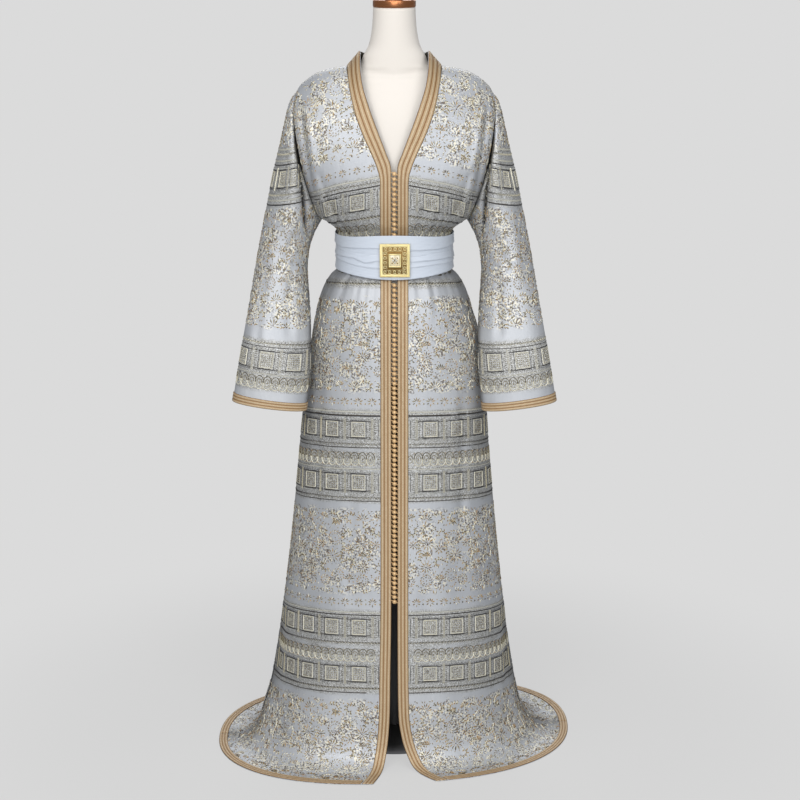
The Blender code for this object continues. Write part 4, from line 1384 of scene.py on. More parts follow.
SKIRT_LEVELS = (
    Level(Zone.ROPE, 1.0080, 1.0210), Level(Zone.FLORAL, 0.7950, 0.9870), Level(Zone.SPRIGS, 0.7560, 0.7900),
    Level(Zone.LINE, 0.7510, 0.7550), Level(Zone.BAR, 0.7420, 0.7480), Level(Zone.SQUARES, 0.6929, 0.7398),
    Level(Zone.ROPE, 0.6816, 0.6901), Level(Zone.BAR, 0.6770, 0.6800), Level(Zone.RINGS, 0.6387, 0.6698),
    Level(Zone.LINE, 0.6320, 0.6350), Level(Zone.SQUARES, 0.5811, 0.6290), Level(Zone.ROPE, 0.5687, 0.5780),
    Level(Zone.BAR, 0.5650, 0.5676), Level(Zone.FLORAL, 0.3720, 0.5469), Level(Zone.SPRIGS, 0.3345, 0.3680),
    Level(Zone.LINE, 0.3292, 0.3324), Level(Zone.BAR, 0.3236, 0.3270), Level(Zone.SQUARES, 0.2752, 0.3228),
    Level(Zone.ROPE, 0.2615, 0.2718), Level(Zone.RINGS, 0.2253, 0.2546), Level(Zone.SQUARES, 0.1776, 0.2222),
    Level(Zone.ROPE, 0.1640, 0.1760), Level(Zone.BAR, 0.1590, 0.1620), Level(Zone.FLORAL, -0.20, 0.1430),
)
BODICE_LEVELS = (
    Level(Zone.RINGS, 1.1060, 1.1377), Level(Zone.ROPE, 1.1423, 1.1572), Level(Zone.SQUARES, 1.1613, 1.2088),
    Level(Zone.BAR, 1.2100, 1.2140), Level(Zone.ROPE, 1.2160, 1.2240), Level(Zone.LINE, 1.2270, 1.2310),
    Level(Zone.SPRIGS, 1.2350, 1.2640), Level(Zone.FLORAL, 1.2720, 1.60),
)
SLEEVE_LEVELS = (
    Level(Zone.FLORAL, 1.2830, 1.60), Level(Zone.LINE, 1.2760, 1.2799), Level(Zone.ROPE, 1.2640, 1.2735),
    Level(Zone.LINE, 1.2540, 1.2570), Level(Zone.BAR, 1.2460, 1.2500), Level(Zone.SQUARES, 1.1965, 1.2440),
    Level(Zone.ROPE, 1.1840, 1.1930), Level(Zone.LINE, 1.1760, 1.1790), Level(Zone.BAR, 1.1665, 1.1710),
    Level(Zone.FLORAL, 0.9220, 1.1603), Level(Zone.ROPE, 0.8869, 0.8960), Level(Zone.BAR, 0.8826, 0.8850),
    Level(Zone.SQUARES, 0.8327, 0.8817), Level(Zone.LINE, 0.8275, 0.8300), Level(Zone.RINGS, 0.7955, 0.8257),
)


@dataclass(frozen=True)
class Design:
    """The brocade's design: a repeat of mirrored flowers between woven bands."""

    width: float = 0.117
    height: float = 0.163
    first: float = 0.0457
    square: float = 0.0585
    ring: float = 0.0165
    rope: float = 0.0068

    def bouquet(self, seed: int) -> Figures:
        """Draw one repeat of the flowers, from its upper left corner right and down."""
        draw = Motif(seed)
        draw.palmette(0.020, -0.022, 1.4, 0.0185)
        draw.vine(((0.021, -0.030), (0.010, -0.042), (0.018, -0.055)))
        draw.daisy(0.023, -0.071, 0.0160)
        draw.vine(((0.006, -0.062), (0.002, -0.078), (0.010, -0.092), (0.006, -0.106)))
        draw.palmette(0.021, -0.098, 1.6, 0.0125)
        draw.daisy(0.020, -0.121, 0.0130)
        draw.wreath(0.021, -0.149, 0.0118)
        draw.scroll(0.048, -0.019, 0.0145, 2.6, -1)
        draw.scroll(0.051, -0.052, 0.0135, 5.4, 1)
        draw.daisy(0.048, -0.083, 0.0110)
        draw.scroll(0.047, -0.113, 0.0140, 0.2, 1)
        draw.palmette(0.050, -0.148, 1.57, 0.0150)
        draw.scroll(0.081, -0.022, 0.0180, 0.8, 1)
        draw.palmette(0.079, -0.020, -1.2, 0.0090)
        draw.wreath(0.080, -0.060, 0.0145)
        draw.vine(((0.064, -0.066), (0.060, -0.082), (0.070, -0.096), (0.064, -0.112)))
        draw.daisy(0.086, -0.098, 0.0165)
        draw.wreath(0.075, -0.139, 0.0128)
        draw.palmette(0.106, -0.018, 1.9, 0.0140)
        draw.scroll(0.107, -0.046, 0.0120, 1.2, -1)
        draw.daisy(0.110, -0.073, 0.0100)
        draw.scroll(0.104, -0.120, 0.0135, 3.6, 1)
        draw.wreath(0.103, -0.150, 0.0100)
        draw.scatter(self.width, self.height, 0.0075, 0.0066)
        return draw.figures

    def squares(self, level: Level, seed: int) -> Figures:
        """Draw one repeat of the squares, from a divider to the next."""
        draw = Motif(seed)
        add, tall = draw.figures, level.high - level.low
        wide, middle = self.square, (level.low + level.high) / 2
        half_w, half_h = 0.0135, tall * 0.315
        for off in (-0.0014, 0.0014):
            line = [(off, level.low + 0.001), (off, middle), (off, level.high - 0.001)]
            add.run(line, 0.0014, Thread.CREAM, Thread.BEIGE)
        centre = wide / 2
        for size, pair, width in (
            (1.0, (Thread.CREAM, Thread.CREAM), 0.0020), (1.24, (Thread.SLATE, Thread.DARK), 0.0013),
        ):
            w, h = half_w * size, half_h * size
            corners = ((-w, -h), (w, -h), (w, h), (-w, h), (-w, -h))
            for (x0, z0), (x1, z1) in zip(corners, corners[1:]):
                line = [(centre + x0 + (x1 - x0) * t, middle + z0 + (z1 - z0) * t) for t in (0, 0.33, 0.67, 1)]
                add.run(line, width, *pair)
        for x in np.arange(-half_w + 0.0032, half_w - 0.0015, 0.0042):
            for z in np.arange(-half_h + 0.0030, half_h - 0.0015, 0.0042):
                turn = draw.chance.random() * 3
                light = Thread.BEIGE if draw.chance.random() < 0.6 else Thread.CREAM
                deep = Thread.OLIVE if draw.chance.random() < 0.6 else Thread.BEIGE
                add.leaf(centre + x, middle + z, turn, 0.0042, 0.0026, light, deep)
        for edge in (0.0055, wide - 0.0055):
            for z in np.arange(level.low + 0.004, level.high - 0.002, 0.0044):
                add.leaf(edge, z, 0.5 * draw.chance.random(), 0.0052, 0.0018, Thread.BEIGE, Thread.DARK)
        for z, lean in ((level.high - 0.0030, 0.7), (level.low + 0.0030, -0.7)):
            for x in np.arange(0.005, wide - 0.003, 0.0038):
                add.leaf(x, z, lean, 0.0044, 0.0018, Thread.SILVER, Thread.SLATE)
            steps = np.linspace(0.003, wide - 0.003, 7)
            off = -0.0034 if lean > 0 else 0.0034
            add.run([(x, z + off) for x in steps], 0.0018, Thread.SLATE, Thread.DARK)
        return add

    def rings(self, level: Level) -> Figures:
        """Draw one of the ovals that stand side by side."""
        add, middle = Figures(), (level.low + level.high) / 2
        tall = (level.high - level.low) / 2 * 0.92
        for size, width, upper, lower in (
            (1.0, 0.0020, (Thread.DARK, Thread.BEIGE), (Thread.CREAM, Thread.CREAM)),
            (0.56, 0.0015, (Thread.OLIVE, Thread.BEIGE), (Thread.CREAM, Thread.BEIGE)),
        ):
            for start, pair in ((0.0, upper), (math.pi, lower)):
                turns = start + np.linspace(0, math.pi, 8)
                across, up = self.ring * 0.54 * size * np.cos(turns), tall * size * np.sin(turns)
                add.run(np.stack([across, middle + up], axis=1), width, *pair)
        add.leaf(0, middle, 1.57, 0.0050, 0.0034, Thread.BEIGE, Thread.OLIVE)
        for up in (-1, 1):
            add.leaf(self.ring / 2, middle + up * tall * 0.86, 1.57, 0.0044, 0.0026, Thread.CREAM, Thread.GOLD)
        return add

    def ropes(self, level: Level) -> Figures:
        """Draw one slanted lozenge of a rope."""
        add, middle = Figures(), (level.low + level.high) / 2
        tall = level.high - level.low
        add.leaf(0, middle, 0.75, min(tall * 1.25, self.rope * 1.25), tall * 0.38, Thread.CREAM, Thread.DARK)
        add.leaf(self.rope * 0.46, middle, 0.75, tall * 0.8, tall * 0.22, Thread.BEIGE, Thread.SLATE)
        return add

    def lines(self, level: Level, pair: tuple[Thread, Thread], stitch: float) -> Figures:
        """Draw one stretch of a level line, with stitches on it where they are asked for."""
        add, middle = Figures(), (level.low + level.high) / 2
        add.run([(x, middle) for x in np.linspace(0, self.square / 2, 4)], (level.high - level.low) * 0.75, *pair)
        if stitch:
            for x in np.arange(stitch / 2, self.square / 2, stitch):
                add.leaf(x, level.high, 0.2, stitch * 0.8, 0.0014, Thread.CREAM, Thread.OLIVE)
        return add

    def draw(self, levels: Sequence[Level], reach: tuple[float, float], least: float, seed: int) -> Figures:
        """Draw the whole design for a panel.

        Args:
            levels: The zones, with their levels.
            reach: The least and greatest u.
            least: The least u that may be used.
            seed: The seed of the small unevenness.

        Returns:
            The figures in woven coordinates.
        """
        out = Figures()
        low_u, high_u = reach
        for number, level in enumerate(levels):
            def inside(u: Array, l: Array, level: Level = level) -> Array:
                """Keep to this zone."""
                return (u > least) & (l > level.low + 0.001) & (l < level.high - 0.0005)

            def across(pitch: float, start: float = 0.0) -> Array:
                """Give the places of a repeat across the panel."""
                first = math.floor((low_u - start) / pitch) - 1
                return start + pitch * np.arange(first, math.ceil((high_u - start) / pitch) + 2)

            if level.zone is Zone.FLORAL:
                tile = self.bouquet(seed + number)
                tall = min(level.high, 1.48) - level.low
                for turn in range(math.ceil(tall / self.height)):
                    top = level.low + tall - turn * self.height
                    start = self.first + (self.square if turn % 2 else 0.0)
                    spots = [(u, top, 1) for u in across(self.width, start)]
                    if turn % 2:
                        spots = [(u + self.width, top, -1) for u, top, _ in spots]
                    out.join(tile.placed(spots, inside))
                continue
            if level.zone is Zone.SPRIGS:
                draw = Motif(seed + number)
                middle, tall = (level.low + level.high) / 2, level.high - level.low
                draw.sprig(0.0, 0.0, min(tall * 0.36, 0.0135))
                draw.stroke(0.0146, -0.003, 1.5, 0.0040, 0.0030)
                draw.stroke(0.0146, 0.006, 0.2, 0.0036, 0.0022)
                spots = [(u, middle, 1) for u in across(self.square / 2, self.first)]
                out.join(draw.figures.placed(spots, inside))
                continue
            pitch, tile = {
                Zone.SQUARES: lambda: (self.square, self.squares(level, seed + number)),
                Zone.RINGS: lambda: (self.ring, self.rings(level)),
                Zone.ROPE: lambda: (self.rope, self.ropes(level)),
                Zone.LINE: lambda: (self.square / 2, self.lines(level, (Thread.CREAM, Thread.SILVER), 0.0042)),
                Zone.BAR: lambda: (self.square / 2, self.lines(level, (Thread.SLATE, Thread.DARK), 0.0)),
            }[level.zone]()
            start = self.first if level.zone is Zone.SQUARES else 0.0
            out.join(tile.placed([(u, 0.0, 1) for u in across(pitch, start)], lambda u, l: u > least))
        return out

    @staticmethod
    def share(levels: Sequence[Level], at: Array, zones: Sequence[Zone] = BANDS) -> Array:
        """Tell how much of these kinds of zone lies at a level, from 0 to 1."""
        share = np.zeros_like(at)
        for level in levels:
            if level.zone in zones:
                part = ease((at - level.low + 0.004) / 0.004) * ease((level.high + 0.004 - at) / 0.004)
                share = np.maximum(share, part)
        return share


class FigureLayer:
    """Lays the figures on a panel as small closed bodies."""

    SINK = -0.00012
    LEAF_RISE = 0.0010
    RUN_RISE = 0.0008

    def __init__(self, panel: Panel, figures: Figures) -> None:
        """Keep the panel and the figures that go on it."""
        self.panel = panel
        self.figures = figures

    def leaf_parts(self) -> tuple[Array, Array, Array, Array]:
        """Give the points in woven coordinates, rises, faces and corner colours of the leaves."""
        table = np.array(self.figures.leaves)
        u, l, angle, length, width = table[:, :5].T
        ones, twos = THREAD_LIGHTS[table[:, 5].astype(int)], THREAD_LIGHTS[table[:, 6].astype(int)]
        way = np.stack([np.cos(angle), np.sin(angle)], axis=1)
        side = np.stack([-way[:, 1], way[:, 0]], axis=1)
        middle = np.stack([u, l], axis=1)
        half, wide = way * length[:, None] / 2, side * width[:, None] / 2
        spots = np.stack([middle - half, middle - wide, middle + half, middle + wide, middle], axis=1)
        rises = np.tile([self.SINK, self.SINK, self.SINK, self.SINK, self.LEAF_RISE], (len(table), 1))
        tris = np.array([(0, 1, 4), (1, 2, 4), (2, 3, 4), (3, 0, 4), (0, 3, 2), (0, 2, 1)])
        faces = np.arange(len(table))[:, None, None] * 5 + tris
        # One colour for each half of a leaf; on most figures a pale thread as painted highlight beside a deep one as
        # painted shadow.
        colours = np.stack([ones, ones, twos, twos, twos, ones], axis=1)
        return spots.reshape(-1, 2), rises.ravel(), faces.reshape(-1, 3), colours.reshape(-1, 4)

    def run_parts(self) -> tuple[Array, Array, Array, Array]:
        """Give the same for the runs, each a low ridge that ends in blunt tips."""
        spots, rises, faces, colours = [], [], [], []
        start = 0
        for line, width, one, two in self.figures.runs:
            way = np.gradient(line, axis=0)
            way /= np.maximum(np.linalg.norm(way, axis=1, keepdims=True), 1e-9)
            side = np.stack([-way[:, 1], way[:, 0]], axis=1) * width / 2
            count = len(line)
            spots.append(np.stack([line - side, line + side, line], axis=1).reshape(-1, 2))
            rises.append(np.tile([self.SINK, self.SINK, self.RUN_RISE], count))
            for k in range(count - 1):
                a, b = start + 3 * k, start + 3 * k + 3
                faces += [(a, b, b + 2), (a, b + 2, a + 2), (a + 2, b + 2, b + 1), (a + 2, b + 1, a + 1)]
                faces += [(a + 1, b + 1, b), (a + 1, b, a)]
                # One colour on each slope; where one is pale and the other deep, as on the stems, they are a painted
                # highlight and a painted shadow.
                colours += [one, one, two, two, two, two]
            last = start + 3 * (count - 1)
            faces += [(start, start + 2, start + 1), (last, last + 1, last + 2)]
            colours += [one, two]
            start += 3 * count
        return np.concatenate(spots), np.concatenate(rises), np.array(faces), THREAD_LIGHTS[np.array(colours)]

    def build(self, material: bpy.types.Material, part: str = "figures") -> bpy.types.Object:
        """Lay every figure on the cloth and make one object of them, named for its part."""
        parts = [self.leaf_parts()]
        if self.figures.runs:
            parts.append(self.run_parts())
        offset = len(parts[0][0])
        spots = np.concatenate([part[0] for part in parts])
        rises = np.concatenate([part[1] for part in parts])
        faces = np.concatenate([parts[0][2], *(part[2] + offset for part in parts[1:])])
        colours = np.concatenate([part[3] for part in parts])
        i, j, found = self.panel.locate(spots[:, 0], spots[:, 1])
        points = self.panel.sampled(self.panel.points, i, j)
        normals = unit(self.panel.sampled(self.panel.normals, i, j))
        points = points + normals * rises[:, None]
        figure = self.figure_numbers(len(parts[0][0]))
        whole = np.ones(figure.max() + 1, bool)
        np.logical_and.at(whole, figure, found)
        keep = whole[figure[faces[:, 0]]]
        faces, colours = faces[keep], colours[keep]
        if self.panel.mirrored:
            faces = faces[:, ::-1]
        used, faces = np.unique(faces, return_inverse=True)
        corner = np.repeat(colours, 3, axis=0)
        obj = add_mesh(
            f"{self.panel.name}_{part}", points[used], [faces.reshape(-1, 3)], [material],
            corner_colours=corner, smooth_shade=False,
        )
        return settle(obj, "brocade")

    def figure_numbers(self, leaf_points: int) -> Array:
        """Number the figure that each point belongs to."""
        leaves = np.repeat(np.arange(leaf_points // 5), 5)
        lengths = [3 * len(line) for line, *_ in self.figures.runs]
        runs = np.repeat(np.arange(len(lengths)), lengths) + leaf_points // 5
        return np.concatenate([leaves, runs]).astype(int)


# ---------------------------------------------------------------------------------------------
# The garment
# ---------------------------------------------------------------------------------------------


@dataclass(frozen=True)
class BraidStrip:
    """The flat braids that are sewn side by side, with a thin cord along both borders."""

    across: int = 23
    border: float = 0.09
    groove: float = 0.55

    def profile(self) -> tuple[Array, Array]:
        """Give the places across the strip, from 0 to 1, and the share of the full rise at each."""
        part = np.linspace(0, 1, self.across)
        cell = np.abs(np.sin(part * 3 * math.pi))
        rise = self.groove + (1 - self.groove) * cell**0.7
        rise[[0, -1]] = 0.0
        return part, rise

    def build(self, node: str, points: Array, normals: Array, material: object, ring: bool = False) -> object:
        """Build a strip from a ribbon of points.

        Args:
            node: The node that the strip stands for.
            points: The cloth under the strip; rows run along it, columns across it from left to right.
            normals: The cloth's normals there.
            material: The braid's finish.
            ring: Whether the last row joins the first.

        Returns:
            The object.
        """
        part, rise = self.profile()
        spots = points + normals * (GAP + BRAID * rise)[None, :, None]
        spots[..., 2] = np.maximum(spots[..., 2], FLOOR_CLEAR)
        rows, cols = spots.shape[:2]
        steps = np.linalg.norm(np.diff(spots[:, cols // 2], axis=0), axis=1)
        length = np.concatenate([[0], np.cumsum(steps)])
        uv = np.stack(np.broadcast_arrays(length[:, None], part[None, :]), axis=-1).reshape(-1, 2)
        number = np.arange(rows * cols).reshape(rows, cols)
        if ring:
            number = np.concatenate([number, number[:1]])
        low = np.stack([number[:-1, 0], number[1:, 0], number[1:, -1], number[:-1, -1]], axis=-1)
        faces = [quads_of(number), low]
        if not ring:
            faces += [number[0][::-1][None], number[-1][None]]
        obj = add_mesh(f"{node}_braid", spots.reshape(-1, 3), faces, [material], uv=uv)
        return settle(obj, "braid", node)


@dataclass(frozen=True)
class SheetFacts:
    """The flat size of a piece of cloth and the way it is held."""

    width: float
    length: float
    area: float
    held: str

    def declare(self, obj: bpy.types.Object, rests_on: Sequence[str], pieces: Sequence[bpy.types.Object]) -> None:
        share = min(self.area, self.width * self.length)
        list(pieces)


class Garment:
    """The brocade panels with their figures and braids."""

    TRIM_STEP = 0.0045
    FIGURES_FROM = 0.0250
    BRAID_COL = 0.97
    HEM_ROW = 1.05
    SEAM = 0.05
    BACK_SEAM_COL = 8.95
    STAND_HALF_WIDTH = 0.0690
    STAND_DEPTH = 0.056
    STAND_TOP = 1.475
    STAND_FALL = 0.013

    def __init__(self, finishes: Finishes) -> None:
        """Keep the finishes and the cut."""
        self.finishes = finishes
        self.cut = BodyCut()
        self.sleeve = SleeveCut()
        self.design = Design()
        self.gathers = Gathers()
        self.strip = BraidStrip()

    def dress(self, panel: Panel, figures: Figures, levels: Sequence[Level], ring: bool = False) -> tuple:
        """Build a panel's shell and its figures."""
        weave_and_shade = np.zeros((*panel.points.shape[:2], 4))
        weave_and_shade[..., 0] = self.design.share(levels, panel.level)
        weave_and_shade[..., 2] = self.design.share(levels, panel.level, (Zone.FLORAL,))
        # The second channel carries the painted shade.
        weave_and_shade[..., 1] = panel.dark
        cloth = panel.shell(self.finishes.satin, self.finishes.reverse, weave_and_shade, ring)
        halves = figures.halves() if panel.name == "back" else {"figures": figures}
        layer = [FigureLayer(panel, half).build(self.finishes.threads, part) for part, half in halves.items()]
        LOG.info("%s: flat %.3f by %.3f m, area %.4f m2", panel.name, *panel.flat_size())
        return cloth, layer

    def body_levels(self, panel: Panel, depth: Callable[[Array], Array], slope: float) -> Array:
        """Give the woven level of every point of a front or the back.

        Args:
            panel: The panel.
            depth: The depth of the body at a height, on the panel's middle line.
            slope: How much the bodice's bands rise towards the side.

        Returns:
            The levels.
        """
        x, y, z = (panel.base[..., k] for k in range(3))
        skirt = z + 0.14 * (depth(z) - np.abs(y))
        side_rise = np.clip(np.abs(x) - 0.09, 0, None)
        bodice = z + slope * (np.abs(x) - 0.058) + 2.0 * side_rise**2
        share = ease((z - 1.03) / 0.08)
        level = skirt * (1 - share) + bodice * share
        low_row = 6.0
        knee = int(np.argmin(np.abs(panel.rows - low_row)))
        steps = np.linalg.norm(np.diff(panel.base, axis=0), axis=-1)
        for row in range(knee - 1, -1, -1):
            level[row] = level[row + 1] - steps[row]
        return level

    def front(self, side: Side) -> tuple[bpy.types.Object, list]:
        """Build a front with its figures and its braids."""
        surface = self.cut.front(side)
        last = self.cut.front_columns + 1.0
        rows = Panel.even(surface, (0.0, float(self.cut.top_row)), 4.0, True, Panel.STEP)
        cols = Panel.even(surface, (0.0, last), 12.0, False, 0.0046)
        if side is Side.RIGHT:
            cols = cols[::-1]
        panel = Panel(f"front_{side.word}", surface, rows, cols)
        ahead = np.ones(panel.row.shape)
        push = sum(crease.push(panel.base, side, ahead) for crease in BODY_CREASES)
        push = push * ease((panel.col - 0.8) / 1.2) * ease((last - panel.col) / 0.6)
        panel.crease(push + self.gathers.push(panel.base) * ease((panel.col - 0.9) / 0.6))
        edge = panel.base[:, 0 if side is Side.LEFT else -1, 0] * side.value
        start = edge if side is Side.LEFT else edge + panel.measure(np.zeros(len(rows)), 1)[:, -1]
        panel.u = panel.measure(start, side.value)
        panel.level = self.body_levels(panel, self.depth_of("front", side), 0.20)
        z = panel.base[..., 2]
        # Painted shade: the front darkens in colour at the hips under the sleeves and towards the side seam, below 1.30
        # m.
        painted_hip_shade = 0.42 * ease((panel.col - 4.6) / 3.4) * ease((z - 0.50) / 0.25) * ease((1.07 - z) / 0.05)
        panel.dark = np.maximum(0.55 * ease((panel.col - 7.4) / 1.6) * ease((1.30 - z) / 0.1), painted_hip_shade)
        levels = SKIRT_LEVELS + BODICE_LEVELS

        figures = self.design.draw(levels, (0.02, 0.40), self.FIGURES_FROM, 11 + side.value)
        cols_free = (self.BRAID_COL, panel.cols.max() - self.SEAM)
        figures = self.clear(figures, panel, cols_free, (self.HEM_ROW, panel.rows.max() - self.SEAM))
        cloth, layer = self.dress(panel, figures, levels)
        braid = self.finishes.braid
        line_rows = Panel.even(surface, (0.0, float(self.cut.top_row)), 0.5, True, self.TRIM_STEP)
        ends = (0.0, 1.0) if side is Side.LEFT else (1.0, 0.0)
        points, normals = panel.at(line_rows, np.linspace(*ends, self.strip.across))
        front = self.strip.build(f"trim_front_{side.word}", points, normals, braid)
        hem_cols = Panel.even(surface, (1.06, last - 0.01), 0.5, False, self.TRIM_STEP)
        hem_rows = np.linspace(0.0, 1.0, self.strip.across)
        points, normals = panel.at(hem_rows, hem_cols if side is Side.LEFT else hem_cols[::-1])
        hem = self.strip.build(f"trim_hem_{side.word}", *self.turned_strip(points, normals), braid)
        return cloth, [*layer, front, hem]

    @staticmethod
    def clear(figures: Figures, panel: Panel, cols: tuple[float, float], rows: tuple[float, float]) -> Figures:
        """Keep the figures that lie on open cloth, off braids and seams.

        Args:
            figures: The figures.
            panel: The panel that they go on.
            cols: The least and greatest column number, without its sign.
            rows: The least and greatest row number.

        Returns:
            The figures that lie between them.
        """

        def free(u: Array, l: Array) -> Array:
            """Tell which spots lie on the open cloth."""
            i, j, found = panel.locate(u, l)
            col = np.abs(np.interp(j, np.arange(len(panel.cols)), panel.cols))
            row = np.interp(i, np.arange(len(panel.rows)), panel.rows)
            return found & (col > cols[0]) & (col < cols[1]) & (row > rows[0]) & (row < rows[1])

        spots = np.array([leaf[:2] for leaf in figures.leaves])
        leaves = [leaf for leaf, kept in zip(figures.leaves, free(*spots.T)) if kept]
        ends = np.array([run[0][0] for run in figures.runs] + [run[0][-1] for run in figures.runs])
        kept = free(*ends.T).reshape(2, -1).all(axis=0)
        return Figures(leaves, [run for run, good in zip(figures.runs, kept) if good])

    @staticmethod
    def turned_strip(points: Array, normals: Array) -> tuple[Array, Array]:
        """Turn a ribbon whose columns run along it into one whose rows do."""
        return np.swapaxes(points, 0, 1)[:, ::-1], np.swapaxes(normals, 0, 1)[:, ::-1]

    def depth_of(self, name: str, side: Side) -> Callable[[Array], Array]:
        """Give the depth of the front or back at a height, for heights above the hem."""
        rows = np.linspace(3, self.cut.top_row, 400)
        height, _, front, back, *_ = self.cut.row_facts(side, rows)
        depth = front if name == "front" else back
        order = np.argsort(height)
        return lambda z: np.interp(z, height[order], depth[order])

    def back(self) -> tuple[bpy.types.Object, list]:
        """Build the back with its figures and its hem braid."""
        surface = self.cut.back
        reach = float(self.cut.neck_columns + self.cut.back_side_columns)
        rows = Panel.even(surface, (0.0, float(self.cut.top_row)), 6.0, True, Panel.STEP)
        cols = Panel.even(surface, (-reach, reach), 12.0, False, 0.0048)[::-1]
        panel = Panel("back", surface, rows, cols)
        ahead = -np.ones(panel.row.shape)
        push = np.zeros(panel.row.shape)
        for side in Side:
            half = panel.base[..., 0] * side.value > 0
            push += half * sum(crease.push(panel.base, side, ahead) for crease in BODY_CREASES)
        push = push * ease((reach - np.abs(panel.col)) / 0.6)
        panel.crease(push + self.gathers.push(panel.base))
        middle = len(cols) // 2
        lengths = panel.measure(np.zeros(len(rows)), 1)
        panel.u = lengths[:, middle][:, None] - lengths
        panel.level = self.body_levels(panel, self.depth_of("back", Side.RIGHT), 0.12)
        # Painted shade: the back darkens in colour towards both side seams, below 1.30 m.
        panel.dark = 0.5 * ease((np.abs(panel.col) - 8.3) / 0.7) * ease((1.30 - panel.base[..., 2]) / 0.1)
        levels = SKIRT_LEVELS + BODICE_LEVELS

        figures = self.design.draw(levels, (-0.42, 0.42), -math.inf, 23)
        rows_free = (self.HEM_ROW, panel.rows.max() - self.SEAM)
        figures = self.clear(figures, panel, (-1.0, self.BACK_SEAM_COL), rows_free)
        cloth, layer = self.dress(panel, figures, levels)
        hem_cols = Panel.even(surface, (-reach + 0.01, reach - 0.01), 0.5, False, self.TRIM_STEP)[::-1]
        points, normals = panel.at(np.linspace(0.0, 1.0, self.strip.across), hem_cols)
        hem = self.strip.build("trim_hem_back", *self.turned_strip(points, normals), self.finishes.braid)
        self.neck_line = surface(np.full(65, float(self.cut.top_row)), np.linspace(-4, 4, 65))
        return cloth, [*layer, hem]

    def collar(self) -> tuple[bpy.types.Object, list]:
        """Build the stand round the back of the neck and its braid."""
        count = len(self.neck_line)
        turn = np.radians(np.linspace(-90, 90, count))
        ring = (self.STAND_HALF_WIDTH * np.sin(turn), self.STAND_DEPTH * np.cos(turn))
        top = np.stack([*ring, self.STAND_TOP - self.STAND_FALL * np.cos(turn)], axis=-1)
        share = np.linspace(0, 1, 9)[:, None, None]
        base = self.neck_line + np.array([0, 0, 2 * GAP])
        points = (base[None] * (1 - share) + top[None] * share)[:, ::-1]
        normals = grid_normals(points)
        numbers = np.arange(9.0), np.arange(count * 1.0)
        wall = Panel("collar_back", lambda row, col: np.zeros(row.shape + (3,)), *numbers)
        wall.base = wall.points = points
        wall.out = wall.normals = normals
        weave_and_shade = np.zeros((9, count, 4))
        cloth = wall.shell(self.finishes.satin, self.finishes.reverse, weave_and_shade)
        rows = np.linspace(0, 8, self.strip.across)
        ribbon = self.turned_strip(*wall.at(rows, np.arange(count * 1.0)))
        braid = self.strip.build("trim_neck", *ribbon, self.finishes.braid)
        LOG.info("collar: flat %.3f by %.3f m, area %.4f m2", *wall.flat_size())
        return cloth, [braid]

    def sleeve_of(self, side: Side) -> tuple[bpy.types.Object, list]:
        """Build a sleeve with its figures and its cuff braid."""
        surface = self.sleeve.surface(side)
        rows = Panel.even(surface, (0.05, 8.0), 90.0, True, 0.0050)
        cols = Panel.even(surface, (-180.0, 180.0), 3.0, False, 0.0042)
        if side is Side.RIGHT:
            cols = cols[::-1]
        panel = Panel(f"sleeve_{side.word}", surface, rows, cols)
        ahead = np.sin(np.radians(panel.col))
        fade = ease(panel.row / 0.12) * ease((8.0 - panel.row) / 1.0)
        push = sum(crease.push(panel.base, side, ahead) for crease in SLEEVE_CREASES) * fade
        panel.crease(push)
        lengths = panel.measure(np.zeros(len(rows)), 1)
        top = len(cols) // 2
        panel.u = (lengths - lengths[:, top][:, None]) * side.value
        x, z = np.abs(panel.base[..., 0]), panel.base[..., 2]
        slope = np.interp(z, (0.75, 0.90, 1.05, 1.25), (-0.136, -0.10, 0.05, 0.22))
        middle = np.interp(z, (0.75, 0.90, 1.25), (0.255, 0.250, 0.235))
        panel.level = z + slope * (x - middle)
        # Painted shade: near-black colour along the armhole crevice on the front, and a darker colour on the sleeve's
        # inner, under side.
        near = CREVICE.near(panel.base, side) * ease(0.5 + 3 * ahead)
        panel.dark = np.clip(near**2 * 1.4, 0, 1)
        panel.dark = np.maximum(panel.dark, 0.6 * ease((np.abs(panel.col) - 150) / 25))
        levels = SLEEVE_LEVELS

        figures = self.design.draw(levels, (-0.27, 0.27), -math.inf, 41 + side.value)
        figures = self.clear(figures, panel, (-1.0, math.inf), (0.08, self.sleeve.braid_row - 0.03))
        cloth, layer = self.dress(panel, figures, levels, ring=True)
        cuff_cols = Panel.even(surface, (-180.0, 180.0), 7.9, False, self.TRIM_STEP)
        cuff_cols = cuff_cols if side is Side.LEFT else cuff_cols[::-1]
        points, normals = panel.at(np.linspace(self.sleeve.braid_row, 8.0, self.strip.across), cuff_cols[:-1])
        ribbon = self.turned_strip(points, normals)
        cuff = self.strip.build(f"trim_cuff_{side.word}", *ribbon, self.finishes.braid, ring=True)
        return cloth, [*layer, cuff]


# ---------------------------------------------------------------------------------------------
# Buttons, belt and buckle
# ---------------------------------------------------------------------------------------------


